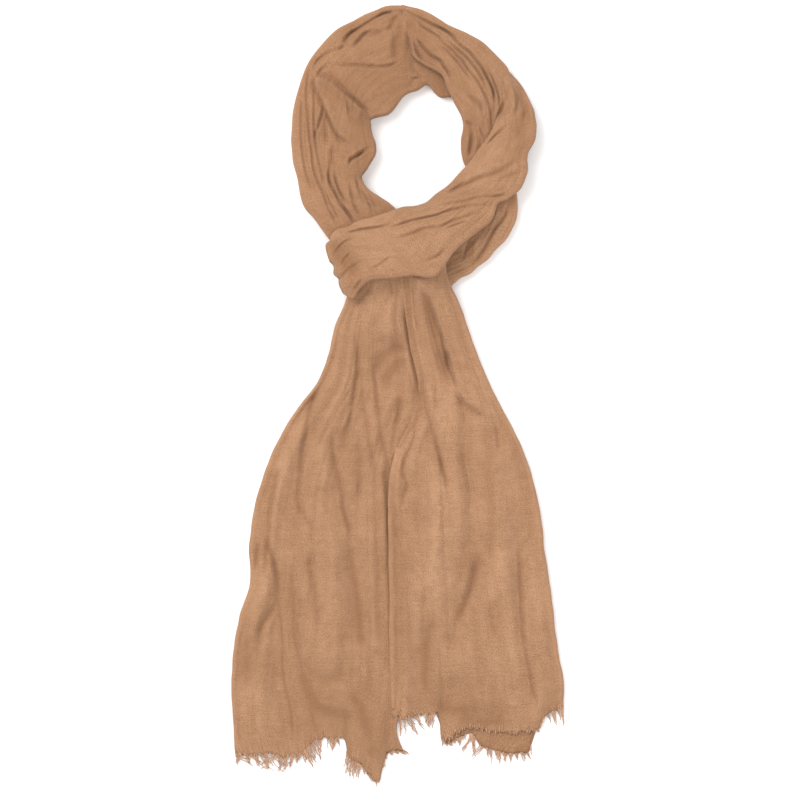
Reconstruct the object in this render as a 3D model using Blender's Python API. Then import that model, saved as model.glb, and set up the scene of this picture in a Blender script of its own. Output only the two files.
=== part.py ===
# A long pashmina shawl, folded in half and drawn through its own loop, laid flat.
# Lengths in the tables are millimetres: X to the right, Y towards the neck, Z up.
import math

import bpy
import numpy as np
from mathutils import Vector
from mathutils.bvhtree import BVHTree

MM = 0.001
AIR = 0.35          # air between pieces that lie on each other
WALL = 1.6          # cloth wall of the two hollow ends
CELL = 1.5          # cell of the height map that upper pieces lie on
BRIDGE = 0.55       # steepest slope at which cloth spans a step below it
REACH = 5.0         # how far a high spot props the cloth around it
MIN_CLOTH = 7.0     # thinnest bundle of layers
CLOTH_COLOR = (0.474, 0.254, 0.144, 1.0)
EDGE_COLOR = (0.548, 0.317, 0.194, 1.0)
CLOTH_ROUGHNESS = 0.92

# Sections along each stretch: outer edge (x, y), inner edge (x, y), height of the crown.
NECK_LEFT = (
    (34, 331, 55, 266, 9),
    (16, 343, 38, 270, 12),
    (2, 348, 22, 275, 17),
    (-12, 348, 6, 268, 21),
    (-29, 342, -4, 257, 23),
    (-45, 334, -15, 252, 24),
    (-61, 323, -24, 247, 25),
    (-76, 306, -24, 242, 25),
    (-86, 286, -23, 236, 25),
    (-93, 263, -20, 227, 25),
    (-96, 237, -19, 219, 24),
    (-95, 212, -25, 205, 24),
    (-90, 189, -32, 195, 23),
    (-85, 169, -25, 184, 23),
    (-74, 156, -12, 176, 23),
    (-63, 140, 0, 165, 25),
    (-52, 125, 23, 143, 29),
    (-41, 113, 44, 122, 30),
)
NECK_RIGHT = (
    (5, 349, 13, 304, 15),
    (17, 348, 17, 299, 20),
    (31.5, 341.5, 25, 294, 24),
    (46.5, 333.5, 32, 290, 25),
    (62.5, 324.5, 39, 286, 26),
    (77.5, 315.5, 45, 273, 26),
    (88.5, 304.5, 50, 261, 25),
    (98.5, 293.5, 57, 248, 24),
    (103, 278, 58, 238, 21),
    (106, 261, 56, 228, 17),
    (108, 240, 57, 216, 15),
    (106, 220, 60, 205, 14),
    (104, 202, 64, 195, 13),
)
LOOP_BACK = (
    (104, 201, 64, 194, 13),
    (107, 183, 60, 182, 13),
    (108, 166, 55, 171, 14),
    (104, 150, 49, 156, 14),
    (95, 134, 40, 146, 14),
    (83, 119, 31, 138, 13),
    (67, 108, 20, 132, 12),
    (49, 99, 9, 129, 12),
    (34, 95, -3, 129, 12),
    (6, 94, -16, 129, 12),
    (-21, 96, -29, 130, 12),
    (-38, 100, -40, 130, 11),
)
LOOP_FRONT = (
    (105, 293, 95, 282, 22),
    (112, 280, 95, 269, 23),
    (119, 263, 90, 253, 27),
    (124, 246, 81, 233, 29),
    (124, 230, 72, 220, 30),
    (117, 215, 63, 208, 30),
    (116, 199, 54, 198, 30),
    (110, 184, 43, 187, 30),
    (95, 174, 34, 180, 31),
    (85, 161, 24, 172, 33),
    (72, 146, 13, 169, 36),
    (56, 133, 2, 168, 40),
    (43, 117, -9, 164, 43),
    (31, 104, -24, 159, 44),
    (13, 106, -36, 155, 44),
    (-7, 103, -47, 150, 42),
    (-23, 102, -56, 148, 38),
    (-34, 94, -62, 140, 31),
    (-43, 86, -65, 130, 23),
    (-49, 90, -62, 120, 14),
)
TAIL_LEFT = (
    (-41, 112, 14, 116, 27),
    (-46, 88, 14, 90, 22),
    (-58, 58, 15, 58, 15),
    (-62, 39, 16, 39, 13),
    (-73, 11, 15, 8, 12),
    (-92, -14, 12, -20, 11),
    (-108, -41, 7, -48, 11),
    (-121, -72, 4, -76, 10),
    (-130, -105, 4, -106, 10),
    (-134, -140, 4, -138, 10),
    (-133, -168, 4, -168, 9),
    (-143, -200, 4, -200, 9),
    (-148, -230, 4, -230, 9),
    (-150, -266, 4, -266, 8),
    (-148, -297, 4, -292, 8),
    (-147, -323, 4, -310, 8),
)
TAIL_RIGHT = (
    (46, 121, 0, 115, 29),
    (54, 90, 1, 88, 25),
    (63, 60, 5, 58, 19),
    (71, 38, 8, 38, 17),
    (84, 7, 5, 8, 15),
    (98, -20, 0, -18, 14),
    (112, -48, -5, -48, 14),
    (121, -75, -8, -76, 13),
    (128, -105, -9, -106, 13),
    (132, -140, -9, -138, 12),
    (137, -172, -8, -168, 12),
    (141, -206, -8, -200, 12),
    (145, -236, -8, -228, 11),
    (149, -258, -7, -256, 10),
    (149, -281, -6, -289, 9),
)

# Folds: start, middle and end (x, y), rise (a trough is negative), width, and which
# side of the way along it laps over the other (1 left, -1 right, 0 neither).
NECK_LEFT_FOLDS = (
    (-73, 284, -50, 273, -24, 248, 6, 5, -1),
    (-74, 286, -61, 295, -41, 296, -4, 5, 0),
    (-41, 296, -16, 293, 1, 299, -2, 5, 0),
    (-75, 284, -63, 249, -34, 223, 5, 5, 1),
    (-66, 258, -68, 246, -73, 231, -3, 5, 0),
    (-81, 294, -83, 248, -72, 194, -5, 5, 0),
    (-72, 194, -65, 176, -54, 152, -5, 5, 0),
    (-44, 209, -38, 216, -24, 223, -9, 5, 0),
    (-60, 212, -60, 189, -49, 168, -6, 5, 0),
    (-49, 168, -43, 163, -40, 155, -5, 5, 0),
    (-41, 199, -34, 180, -23, 163, -6, 5, 0),
    (-29, 188, -22, 179, -9, 167, -5, 5, 0),
    (6, 345, -12, 341, -29, 334, -5, 5, 0),
    (-29, 334, -43, 325, -51, 311, -6, 5, 0),
    (-51, 311, -61, 308, -75, 298, -5, 5, 0),
    (-4, 334, -16, 326, -40, 312, -4, 6, 0),
    (-3, 332, -4, 315, -2, 300, -6, 8, 0),
    (4, 339, 6, 320, 1, 298, 3, 6, 0),
)
NECK_RIGHT_FOLDS = (
    (9, 346, 24, 335, 44, 326, -5, 5, 0),
    (44, 326, 63, 306, 76, 285, -6, 5, 0),
    (76, 285, 85, 267, 90, 248, -7, 5, 0),
    (14, 339, 38, 318, 60, 296, -5, 5, 0),
    (60, 296, 76, 273, 82, 238, -5, 5, 0),
    (29, 307, 45, 294, 58, 273, -4, 5, 0),
    (65, 273, 75, 256, 77, 233, -3, 5, 0),
)
LOOP_BACK_FOLDS = (
    (97, 172, 86, 147, 76, 127, -5, 5, 0),
    (76, 127, 70, 120, 61, 112, -5, 5, 0),
    (74, 145, 61, 138, 57, 119, -4, 5, 0),
)
LOOP_FRONT_FOLDS = (
    (107, 204, 83, 197, 56, 184, -5, 7, 0),
    (56, 184, 33, 176, 2, 162, -4, 6, 0),
    (108, 176, 83, 178, 56, 173, -6, 5, 0),
    (56, 173, 29, 165, 2, 158, -5, 5, 0),
    (2, 158, -25, 151, -50, 149, -4, 5, 0),
    (81, 156, 47, 147, 2, 136, -4, 8, 0),
    (4, 121, -12, 115, -18, 106, -4, 5, 0),
    (-55, 119, -50, 124, -40, 128, -4, 5, 0),
    (-44, 94, -36, 101, -22, 105, -6, 7, 0),
    (96, 231, 78, 221, 61, 202, -4, 6, 0),
)
TAIL_LEFT_FOLDS = (
    (-33, 53, -36, 9, -47, -33, -4, 7, 0),
    (-35, 24, -29, -14, -19, -69, -4, 7, 0),
    (-82, -21, -88, -72, -76, -122, -4, 7, 0),
    (-60, -30, -52, -86, -41, -136, -4, 7, 0),
    (-41, -136, -33, -176, -32, -226, -3, 7, 0),
    (-104, -54, -116, -122, -108, -177, -4.5, 7, 0),
    (-108, -177, -104, -230, -94, -325, -5, 7, 0),
    (-107, -181, -114, -195, -123, -220, -5, 7, 0),
    (-94, -75, -95, -158, -87, -238, -3, 7, 0),
    (-87, -238, -81, -274, -70, -302, -3, 8, 0),
    (-122, -93, -126, -130, -122, -165, -2, 7, 0),
    (-101, -184, -96, -256, -87, -325, 2, 7, 0),
    (-43, -181, -41, -230, -36, -307, -2, 9, 0),
    (-48, 45, -54, 14, -61, -32, 2, 9, 0),
    (-72, -130, -68, -220, -54, -307, 2, 10, 0),
)
TAIL_RIGHT_FOLDS = (
    (4, 100, 13, 40, 25, -12, -5, 7, 0),
    (25, -12, 38, -54, 47, -125, -4, 7, 0),
    (14, 100, 23, 40, 38, -14, 2, 7, 0),
    (21, 100, 39, 54, 47, 15, -7, 8, 0),
    (47, 15, 61, -8, 86, -22, -4, 8, 0),
    (21, 1, 10, -45, 5, -91, -4, 7, 0),
    (-1, -93, 0, -114, 3, -136, -4, 7, 0),
    (76, -134, 63, -177, 49, -215, -6, 8, 0),
    (31, -212, 27, -248, 25, -287, -3, 9, 0),
    (58, -39, 59, -68, 67, -96, -2, 8, 0),
    (105, -120, 111, -194, 126, -289, -4, 7, 0),
    (65, -220, 68, -256, 70, -284, 2, 14, 0),
    (92, -148, 97, -220, 103, -285, 2, 9, 0),
    (5, -130, 9, -202, 11, -287, 2, 7, 0),
    (32, -148, 38, -184, 43, -230, 2, 9, 0),
)

# Hems of the two ends: x, y of the upper layer, y of the layer turned under it.
LEFT_HEM = (
    (-151, -323.5, -323),
    (-138, -324, -321),
    (-111, -324, -320),
    (-90, -325, -319),
    (-81, -318, -310),
    (-70, -309, -302),
    (-54, -309, -304),
    (-48, -310, -310),
    (-38, -310, -322),
    (-30, -310, -332),
    (-22, -310, -346),
    (-17, -310, -346),
    (-13, -310, -330),
    (-9, -310, -318),
    (11, -311, -318),
)
RIGHT_HEM = (
    (-12, -289, -283),
    (2, -290, -283),
    (30, -288, -284),
    (37, -285, -292),
    (43, -284, -307),
    (58, -285, -303),
    (65, -285, -311),
    (76, -286, -317),
    (92, -287, -320),
    (110, -291, -321),
    (118, -291, -316),
    (124, -290, -300),
    (132, -288, -281),
    (141, -282, -276),
    (159, -278, -272),
)

# Turned edge of a bundle of layers: share of its height, how far it lies inside.
LAYERED_EDGE = (
    (0.00, 2.2),
    (0.10, 0.3),
    (0.25, 0.3),
    (0.33, 2.4),
    (0.41, 0.3),
    (0.56, 0.3),
    (0.64, 2.2),
    (0.72, 0.6),
)
# Folded edge of an end: two walls that meet in one round turn.
FOLDED_EDGE = (
    (0.00, 1.4),
    (0.30, 0.0),
    (0.60, 0.6),
)

# Fringes: end it hangs from, layer, from x, to x, strands, length, spread sideways.
FRINGES = (
    ("tail_left", "upper", -146, -91, 17, 11, 3),
    ("tail_left", "upper", -86, -50, 10, 9, 1),
    ("tail_left", "under", -49, -31, 7, 17, -4),
    ("tail_left", "under", -13, 4, 5, 7, 4),
    ("tail_right", "upper", 0, 33, 9, 10, 3),
    ("tail_right", "upper", 44, 112, 19, 14, 2),
    ("tail_right", "under", 43, 60, 6, 9, 4),
    ("tail_right", "under", 64, 117, 13, 9, -3),
    ("tail_right", "upper", 120, 147, 7, 15, 2),
)
LOCK_SHARE = 0.68    # of its pitch that a lock takes up at its root
STRIP_DEPTH = 1.6
STRIP_HEIGHT = 1.1


def smooth_rows(rows, count):
    """Rows spread evenly along a smooth line through a table's rows."""
    table = np.array(rows, float)
    middle = (table[:, 0:2] + table[:, 2:4]) / 2
    steps = np.hypot(*np.diff(middle, axis=0).T)
    along = np.concatenate([[0.0], np.cumsum(steps)])
    wanted = np.linspace(0, along[-1], count)
    slopes = np.gradient(table, along, axis=0)
    at = np.clip(np.searchsorted(along, wanted, side="right") - 1, 0, len(along) - 2)
    span = (along[at + 1] - along[at])[:, None]
    t = (wanted - along[at])[:, None] / span
    start = table[at] * (1 + 2 * t) * (1 - t) ** 2 + slopes[at] * span * t * (1 - t) ** 2
    end = table[at + 1] * t**2 * (3 - 2 * t) + slopes[at + 1] * span * t**2 * (t - 1)
    return start + end


def fold_rise(folds, x, y):
    """Height that the folds add at each point of the plan."""
    rise = np.zeros_like(x)
    for x0, y0, x1, y1, x2, y2, height, width, lap in folds:
        near = np.full(x.shape, 1e9)
        side = np.zeros_like(x)
        place = np.zeros_like(x)
        parts = 12
        for k in range(parts):
            ends = []
            for t in (k / parts, (k + 1) / parts):
                a, b, c = (1 - t) * (1 - 2 * t), 4 * t * (1 - t), t * (2 * t - 1)
                ends.append((a * x0 + b * x1 + c * x2, a * y0 + b * y1 + c * y2))
            (px, py), (qx, qy) = ends
            dx, dy = qx - px, qy - py
            share = ((x - px) * dx + (y - py) * dy) / (dx * dx + dy * dy)
            share = np.clip(share, 0, 1)
            away = np.hypot(x - px - share * dx, y - py - share * dy)
            closer = away < near
            near = np.where(closer, away, near)
            cross = dx * (y - py) - dy * (x - px)
            side = np.where(closer, np.sign(cross), side)
            place = np.where(closer, (k + share) / parts, place)
        fade = np.clip(np.minimum(place, 1 - place) / 0.16, 0.12, 1)
        if lap:
            high = np.where(side * lap > 0, 1.0, -0.35)
            shape = high * np.exp(-near / (2.2 * width)) * (1 - np.exp(-near / 1.2))
        else:
            shape = np.exp(-((near / width) ** 2))
        rise += height * fade * shape
    return rise


def bundle_outline(edge, top_steps, under_steps, crowd):
    """One section's points: share across, share of height, inset, above (1) or under (0)."""
    points = [(0.0, level, inset, 0) for level, inset in edge]
    shoulder = edge[-1][0]
    tuck = edge[0][1]
    for i in range(top_steps + 1):
        c = i / top_steps
        round_off = (1 - abs(1.9 * c - 0.95) ** 2.4) ** 0.8
        level = shoulder + 0.05 + (0.95 - shoulder) * round_off
        points.append((c, level, 1.7 * (1 - 2 * c), 1))
    points += [(1.0, level, -inset, 0) for level, inset in reversed(edge)]
    for i in range(1, under_steps):
        c = 1 - (i / under_steps) ** crowd
        points.append((c, 0.0, tuck * (1 - 2 * c), 0))
    return np.array(points)


class HeightMap:
    """Highest point of the pieces laid so far, over the plan."""

    def __init__(self):
        self.x = np.arange(-175, 176, CELL)
        self.y = np.arange(-375, 376, CELL)
        self.height = np.zeros((len(self.y), len(self.x)))

    def lay(self, points, faces):
        tree = BVHTree.FromPolygons([tuple(p) for p in points], faces)
        low, high = points.min(axis=0) - CELL, points.max(axis=0) + CELL
        for j in np.nonzero((self.y > low[1]) & (self.y < high[1]))[0]:
            for i in np.nonzero((self.x > low[0]) & (self.x < high[0]))[0]:
                start = Vector((self.x[i], self.y[j], 200.0))
                hit = tree.ray_cast(start, Vector((0, 0, -1)))[0]
                if hit is not None:
                    self.height[j, i] = max(self.height[j, i], hit.z)

    def bridged(self):
        """The map as cloth lies on it: spread by its reach, then falling at a slope."""
        spread = self.height.copy()
        for k in range(int(math.ceil(REACH / CELL))):
            spread = self.grown(spread, 0.0)
        for k in range(24):
            spread = self.grown(spread, BRIDGE * CELL)
        return spread

    def grown(self, grid, drop):
        wide = np.pad(grid, 1, mode="edge")
        rows, columns = grid.shape
        best = grid.copy()
        for j in (0, 1, 2):
            for i in (0, 1, 2):
                fall = drop * math.hypot(j - 1, i - 1)
                best = np.maximum(best, wide[j:j + rows, i:i + columns] - fall)
        return best

    def sample(self, grid, x, y):
        u = np.clip((x - self.x[0]) / CELL, 0, len(self.x) - 1.001)
        v = np.clip((y - self.y[0]) / CELL, 0, len(self.y) - 1.001)
        i, j = u.astype(int), v.astype(int)
        u, v = u - i, v - j
        low = grid[j, i] * (1 - u) + grid[j, i + 1] * u
        high = grid[j + 1, i] * (1 - u) + grid[j + 1, i + 1] * u
        height = low * (1 - v) + high * v
        return np.where(height > 0.01, height + AIR, 0.0)


def loft_rings(rows, outline, folds, bed, least, hem=None):
    """Points of each section's ring, and the height of its underside."""
    ox, oy, ix, iy, crown = (rows[:, k:k + 1] for k in range(5))
    across, level, inset, above = (outline[None, :, k] for k in range(4))
    width = np.hypot(ix - ox, iy - oy)
    share = across + inset / width
    x = ox + (ix - ox) * share
    y = oy + (iy - oy) * share
    if hem is not None:
        table = np.array(hem, float)
        upper = np.interp(x, table[:, 0], table[:, 1])
        under = np.interp(x, table[:, 0], table[:, 2])
        last = oy[-1] + (iy[-1] - oy[-1]) * share[-1]
        blend = np.clip(level / 0.5, 0, 1)
        target = under * (1 - blend) + upper * blend
        place = np.linspace(0, 1, len(rows))[:, None]
        near_hem = np.clip((place - 0.84) / 0.16, 0, 1)
        y = y + (target - last) * near_hem
    base = bed(x, y)
    top = np.maximum(crown, base + least)
    edge_fade = np.clip((np.minimum(across, 1 - across) * width - 1.5) / 6, 0, 1)
    rise = fold_rise(folds, x, y) * above * edge_fade
    z = base + (top - base) * level + rise
    z = np.where(above > 0, np.maximum(z, base + 0.5 * least), z)
    return np.stack([x, y, z], axis=2), base


def ring_faces(first, rings, points):
    faces = []
    for k in range(rings - 1):
        for i in range(points):
            n = (i + 1) % points
            a = first + k * points
            faces.append((a + i, a + n, a + points + n, a + points + i))
    return faces


def solid_bundle(rings):
    """A closed body through the rings, both ends capped."""
    count, points = rings.shape[:2]
    faces = ring_faces(0, count, points)
    faces.append(tuple(reversed(range(points))))
    faces.append(tuple((count - 1) * points + i for i in range(points)))
    return rings.reshape(-1, 3), faces


def hollow_end(rings, base, first_open):
    """A tube of cloth, closed where it is gathered and open at its hem."""
    count, points = rings.shape[:2]
    faces = ring_faces(0, count, points)
    faces.append(tuple(reversed(range(points))))
    inner = []
    for k in range(first_open, count):
        ring = rings[k].copy()
        middle = (ring[:, 0].min() + ring[:, 0].max()) / 2
        half = (ring[:, 0].max() - ring[:, 0].min()) / 2
        ring[:, 0] = middle + (ring[:, 0] - middle) * (half - WALL) / half
        depth = np.maximum(ring[:, 2] - base[k], 0)
        room = np.maximum(depth.max(), 1)
        shrink = np.where(depth > 2 * WALL + 0.4, depth - 2 * WALL, 0.4 * depth / (2 * WALL + 0.4))
        ring[:, 2] = base[k] + WALL + np.minimum(shrink, room)
        inner.append(ring)
    offset = count * points
    rows = count - first_open
    for k in range(rows - 1):
        for i in range(points):
            n = (i + 1) % points
            a = offset + k * points
            faces.append((a + i, a + points + i, a + points + n, a + n))
    faces.append(tuple(offset + i for i in range(points)))
    outer_last, inner_last = (count - 1) * points, offset + (rows - 1) * points
    for i in range(points):
        n = (i + 1) % points
        faces.append((outer_last + i, outer_last + n, inner_last + n, inner_last + i))
    return np.concatenate([rings.reshape(-1, 3), np.concatenate(inner)]), faces


def fringe_solid(line, x0, x1, strands, length, spread, seed, bed):
    """A backing strip along a hem's line, and the strands that grow out of it."""
    columns = 2 * strands + 1
    where = np.arange(columns) // 2 + (np.arange(columns) % 2) * LOCK_SHARE
    pitch = (x1 - x0) / strands
    x = x0 + pitch * where
    nearby = x[:, None] + pitch * np.linspace(-0.2, 0.2, 21)[None, :]
    back = np.interp(nearby, line[0], line[1]).min(axis=1) - AIR
    front = back - STRIP_DEPTH
    around = x[:, None] + np.linspace(-7, 7, 15)[None, :]
    low = np.interp(around, line[0], line[2]).mean(axis=1)
    points, faces = [], []
    for i in range(columns):
        points += [
            (x[i], back[i], low[i]),
            (x[i], front[i], low[i]),
            (x[i], front[i], low[i] + STRIP_HEIGHT),
            (x[i], back[i], low[i] + STRIP_HEIGHT),
        ]
    for i in range(columns - 1):
        a, b = 4 * i, 4 * i + 4
        for k in (1, 2, 3):
            if k == 1 and i % 2 == 0:
                continue
            n = (k + 1) % 4
            faces.append((a + k, a + n, b + n, b + k))
        faces.append((a, a + 1, b + 1, b))
    faces.append((0, 3, 2, 1))
    last = 4 * (columns - 1)
    faces.append((last, last + 1, last + 2, last + 3))
    for s in range(strands):
        i = 2 * s
        root = [4 * i + 1, 4 * i + 2, 4 * i + 6, 4 * i + 5]
        cx = (x[i] + x[i + 1]) / 2
        cy = (front[i] + front[i + 1]) / 2
        cz = low[i] + STRIP_HEIGHT / 2
        turn = math.sin(1.1 * s + seed)
        long = length * (0.78 + 0.22 * math.sin(1.7 * s + 2 * seed))
        rings = [root]
        for share, size in ((0.5, 0.72), (1.0, 0.25)):
            px = cx + (0.2 * turn + 0.3) * spread * share
            py = cy - long * share
            floor = float(bed(np.array([px]), np.array([py]))[0])
            pz = max(cz * (1 - share**1.5) + 0.8 * share, floor + 0.75)
            half = LOCK_SHARE * pitch * size / 2
            first = len(points)
            points += [
                (px - half, py, pz - 0.5 * size),
                (px - half, py, pz + 0.5 * size),
                (px + half, py, pz + 0.5 * size),
                (px + half, py, pz - 0.5 * size),
            ]
            rings.append([first, first + 1, first + 2, first + 3])
        for lower, upper in zip(rings, rings[1:]):
            for k in range(4):
                n = (k + 1) % 4
                faces.append((lower[k], lower[n], upper[n], upper[k]))
        faces.append(tuple(rings[-1]))
    return np.array(points), faces


def faced_out(points, faces):
    """The faces, turned over if they face into the body."""
    volume = 0.0
    for face in faces:
        for b, c in zip(face[1:-1], face[2:]):
            volume += np.dot(points[face[0]], np.cross(points[b], points[c]))
    return faces if volume > 0 else [tuple(reversed(face)) for face in faces]


def cloth_material(name, color, roughness):
    material = bpy.data.materials.new(name)
    material.use_nodes = True
    shader = material.node_tree.nodes["Principled BSDF"]
    shader.inputs["Base Color"].default_value = color
    shader.inputs["Roughness"].default_value = roughness
    shader.inputs["Metallic"].default_value = 0.0
    material.diffuse_color = color
    return material


def add_object(name, points, faces, material, shift):
    mesh = bpy.data.meshes.new(name)
    placed = [tuple(MM * (p[k] + shift[k]) for k in range(3)) for p in points]
    mesh.from_pydata(placed, [], faces)
    mesh.update()
    mesh.materials.append(material)
    mesh.shade_smooth()
    piece = bpy.data.objects.new(name, mesh)
    bpy.context.scene.collection.objects.link(piece)
    return piece


def hem_line(rings, outline, layer):
    """Plan line and lowest height of a fringe's backing along one layer's hem."""
    last = rings[-1]
    if layer == "upper":
        chosen = last[outline[:, 3] > 0]
        height = chosen[:, 2] - STRIP_HEIGHT - 0.15
    else:
        chosen = last[(outline[:, 1] == 0) & (outline[:, 3] == 0)]
        height = np.full(len(chosen), 0.25)
    order = np.argsort(chosen[:, 0])
    return chosen[order, 0], chosen[order, 1], height[order]


def build():
    for thing in list(bpy.data.objects):
        bpy.data.objects.remove(thing, do_unlink=True)
    laid = HeightMap()
    bundle = bundle_outline(LAYERED_EDGE, 16, 8, 1.0)
    folded = bundle_outline(FOLDED_EDGE, 36, 9, 1.35)
    # In the order in which they lie: sections, folds, stations, thinnest, outline.
    stretches = (
        ("loop_back", LOOP_BACK, LOOP_BACK_FOLDS, 15, MIN_CLOTH, bundle, None),
        ("neck_left", NECK_LEFT, NECK_LEFT_FOLDS, 29, MIN_CLOTH, bundle, None),
        ("neck_right", NECK_RIGHT, NECK_RIGHT_FOLDS, 17, MIN_CLOTH, bundle, None),
        ("tail_left", TAIL_LEFT, TAIL_LEFT_FOLDS, 20, 5.0, folded, LEFT_HEM),
        ("tail_right", TAIL_RIGHT, TAIL_RIGHT_FOLDS, 20, 5.0, folded, RIGHT_HEM),
        ("loop_front", LOOP_FRONT, LOOP_FRONT_FOLDS, 23, MIN_CLOTH, bundle, None),
    )
    solids = {}
    hems = {}
    for name, sections, folds, stations, least, outline, hem in stretches:
        rows = smooth_rows(sections, stations)
        grid = laid.bridged()

        def bed(x, y, grid=grid):
            return laid.sample(grid, x, y)

        rings, base = loft_rings(rows, outline, folds, bed, least, hem)
        if hem is None:
            points, faces = solid_bundle(rings)
        else:
            points, faces = hollow_end(rings, base, 5)
            hems[name] = (rings, outline)
        faces = faced_out(points, faces)
        solids[name] = (points, faces)
        laid.lay(points, faces)
    grid = laid.height

    def ground(x, y):
        return laid.sample(grid, x, y)

    for number, (tail, layer, x0, x1, strands, length, spread) in enumerate(FRINGES):
        line = hem_line(*hems[tail], layer)
        name = "fringe_%s_%s_%d" % (tail[5:], layer, number + 1)
        points, faces = fringe_solid(line, x0, x1, strands, length, spread, number, ground)
        solids[name] = (points, faced_out(points, faces))
    every = np.concatenate([points for points, faces in solids.values()])
    low, high = every.min(axis=0), every.max(axis=0)
    shift = (-(low[0] + high[0]) / 2, -(low[1] + high[1]) / 2, -low[2])
    for name, (points, faces) in solids.items():
        color = EDGE_COLOR if name.startswith("fringe") else CLOTH_COLOR
        material = cloth_material(name + "_pashmina", color, CLOTH_ROUGHNESS)
        add_object(name, points, faces, material, shift)
    print("shift", shift, "size", high - low)


build()
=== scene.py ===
import math

import bpy
import numpy as np
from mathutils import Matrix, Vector
from mathutils.bvhtree import BVHTree


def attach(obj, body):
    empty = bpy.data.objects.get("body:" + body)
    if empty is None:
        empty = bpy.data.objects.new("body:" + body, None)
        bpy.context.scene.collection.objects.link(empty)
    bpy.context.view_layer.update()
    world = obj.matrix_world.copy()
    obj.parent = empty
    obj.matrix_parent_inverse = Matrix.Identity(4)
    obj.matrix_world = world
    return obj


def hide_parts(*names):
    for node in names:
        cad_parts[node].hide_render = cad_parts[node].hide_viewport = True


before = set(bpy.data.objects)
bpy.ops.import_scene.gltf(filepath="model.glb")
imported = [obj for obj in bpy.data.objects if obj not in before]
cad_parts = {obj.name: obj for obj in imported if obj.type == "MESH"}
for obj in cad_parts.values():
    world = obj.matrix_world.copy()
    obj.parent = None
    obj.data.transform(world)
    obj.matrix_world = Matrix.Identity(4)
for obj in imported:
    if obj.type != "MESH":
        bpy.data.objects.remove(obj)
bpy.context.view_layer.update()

# Plans are in millimetres: x to the right, y towards the neck, z up from the floor.
origin = (0.2666, -0.2290, 0.0)  # from the plan to the frame
millimetre = 0.001

drape = {
    "thickness": 0.7,
    "air": 0.4,          # between pieces that lie on each other
    "cell": 1.25,        # of the map of what lies below
    "halfMap": (165, 365),
    "reach": 4.0,        # how far a high spot props the cloth around it
    "slope": 0.55,       # steepest fall of cloth that spans a step
    "slopeCells": 30,    # how many cells such a fall is followed
    "softening": 2.5,    # how softly a piece leaves what props it
    "sag": 6.0,          # deepest that a hidden end hangs below the cloth round it
    "sink": 1.0,         # how far it goes into what lies below
    "hiddenLeast": 0.3,  # its least height
    "shutHeight": 0.8,   # height of an end that is folded shut
    "bareEdge": (0.8, 4.5),     # no folds this near an edge, then weaker ones over this width
    "insets": (1.7, 2.2, 1.4),  # of the top, of the underside of a bundle and of one layer
}
edgeKind, topKind, underKind = 0, 1, 2  # where a column of points lies round a piece of cloth


def addObject(name, data):
    item = bpy.data.objects.new(name, data)
    bpy.context.scene.collection.objects.link(item)
    return item


def ease(t):
    t = np.clip(t, 0, 1)
    return t * t * (3 - 2 * t)


def bell(away, width):
    return np.exp(-((away / width) ** 2))


def decay(away, width):
    return np.exp(-away / width)


def spotAt(x, y, middleX, middleY, radius):
    # 1 in the middle of a round spot, fading outwards
    return np.exp(-(((x - middleX) ** 2 + (y - middleY) ** 2) / radius**2))


def softMax(a, b, soft):
    return 0.5 * (a + b + np.sqrt((a - b) ** 2 + soft * soft))


def wander(a, b, seed):
    # smooth noise from about -1 to 1, one cell for each unit of a and b
    cells = 128
    turns = np.random.default_rng(seed).uniform(0, 2 * math.pi, (cells, cells))
    i, j = np.floor(a).astype(int), np.floor(b).astype(int)
    fa, fb = a - i, b - j

    def corner(di, dj):
        angle = turns[(i + di) % cells, (j + dj) % cells]
        return np.cos(angle) * (fa - di) + np.sin(angle) * (fb - dj)

    sa, sb = (t**3 * (t * (t * 6 - 15) + 10) for t in (fa, fb))
    near = corner(0, 0) * (1 - sa) + corner(1, 0) * sa
    far = corner(0, 1) * (1 - sa) + corner(1, 1) * sa
    return 1.5 * (near * (1 - sb) + far * sb)


def smoothRows(rows, step):
    # rows spread evenly, a step apart, along a smooth line through the rows of a table
    table = np.array(rows, float)
    middle = (table[:, 0:2] + table[:, 2:4]) / 2
    along = np.concatenate([[0.0], np.cumsum(np.hypot(*np.diff(middle, axis=0).T))])
    wanted = np.linspace(0, along[-1], int(along[-1] / step) + 1)
    slopes = np.gradient(table, along, axis=0)
    at = np.clip(np.searchsorted(along, wanted, side="right") - 1, 0, len(along) - 2)
    span = (along[at + 1] - along[at])[:, None]
    t = (wanted - along[at])[:, None] / span
    start = table[at] * (1 + 2 * t) * (1 - t) ** 2 + slopes[at] * span * t * (1 - t) ** 2
    end = table[at + 1] * t**2 * (3 - 2 * t) + slopes[at + 1] * span * t**2 * (t - 1)
    return start + end, wanted


def creaseLine(points, steps=8):
    # a smooth line through the points of one crease
    p = np.array(points, float).reshape(-1, 2)
    p = np.vstack([2 * p[0] - p[1], p, 2 * p[-1] - p[-2]])
    t = (np.arange(steps) / steps)[:, None]
    runs = []
    for a, b, c, d in zip(p, p[1:], p[2:], p[3:]):
        runs.append(0.5 * (2 * b + (c - a) * t + (2 * a - 5 * b + 4 * c - d) * t**2
                           + (3 * b - a - 3 * c + d) * t**3))
    return np.vstack(runs + [p[-2:-1]])


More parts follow.
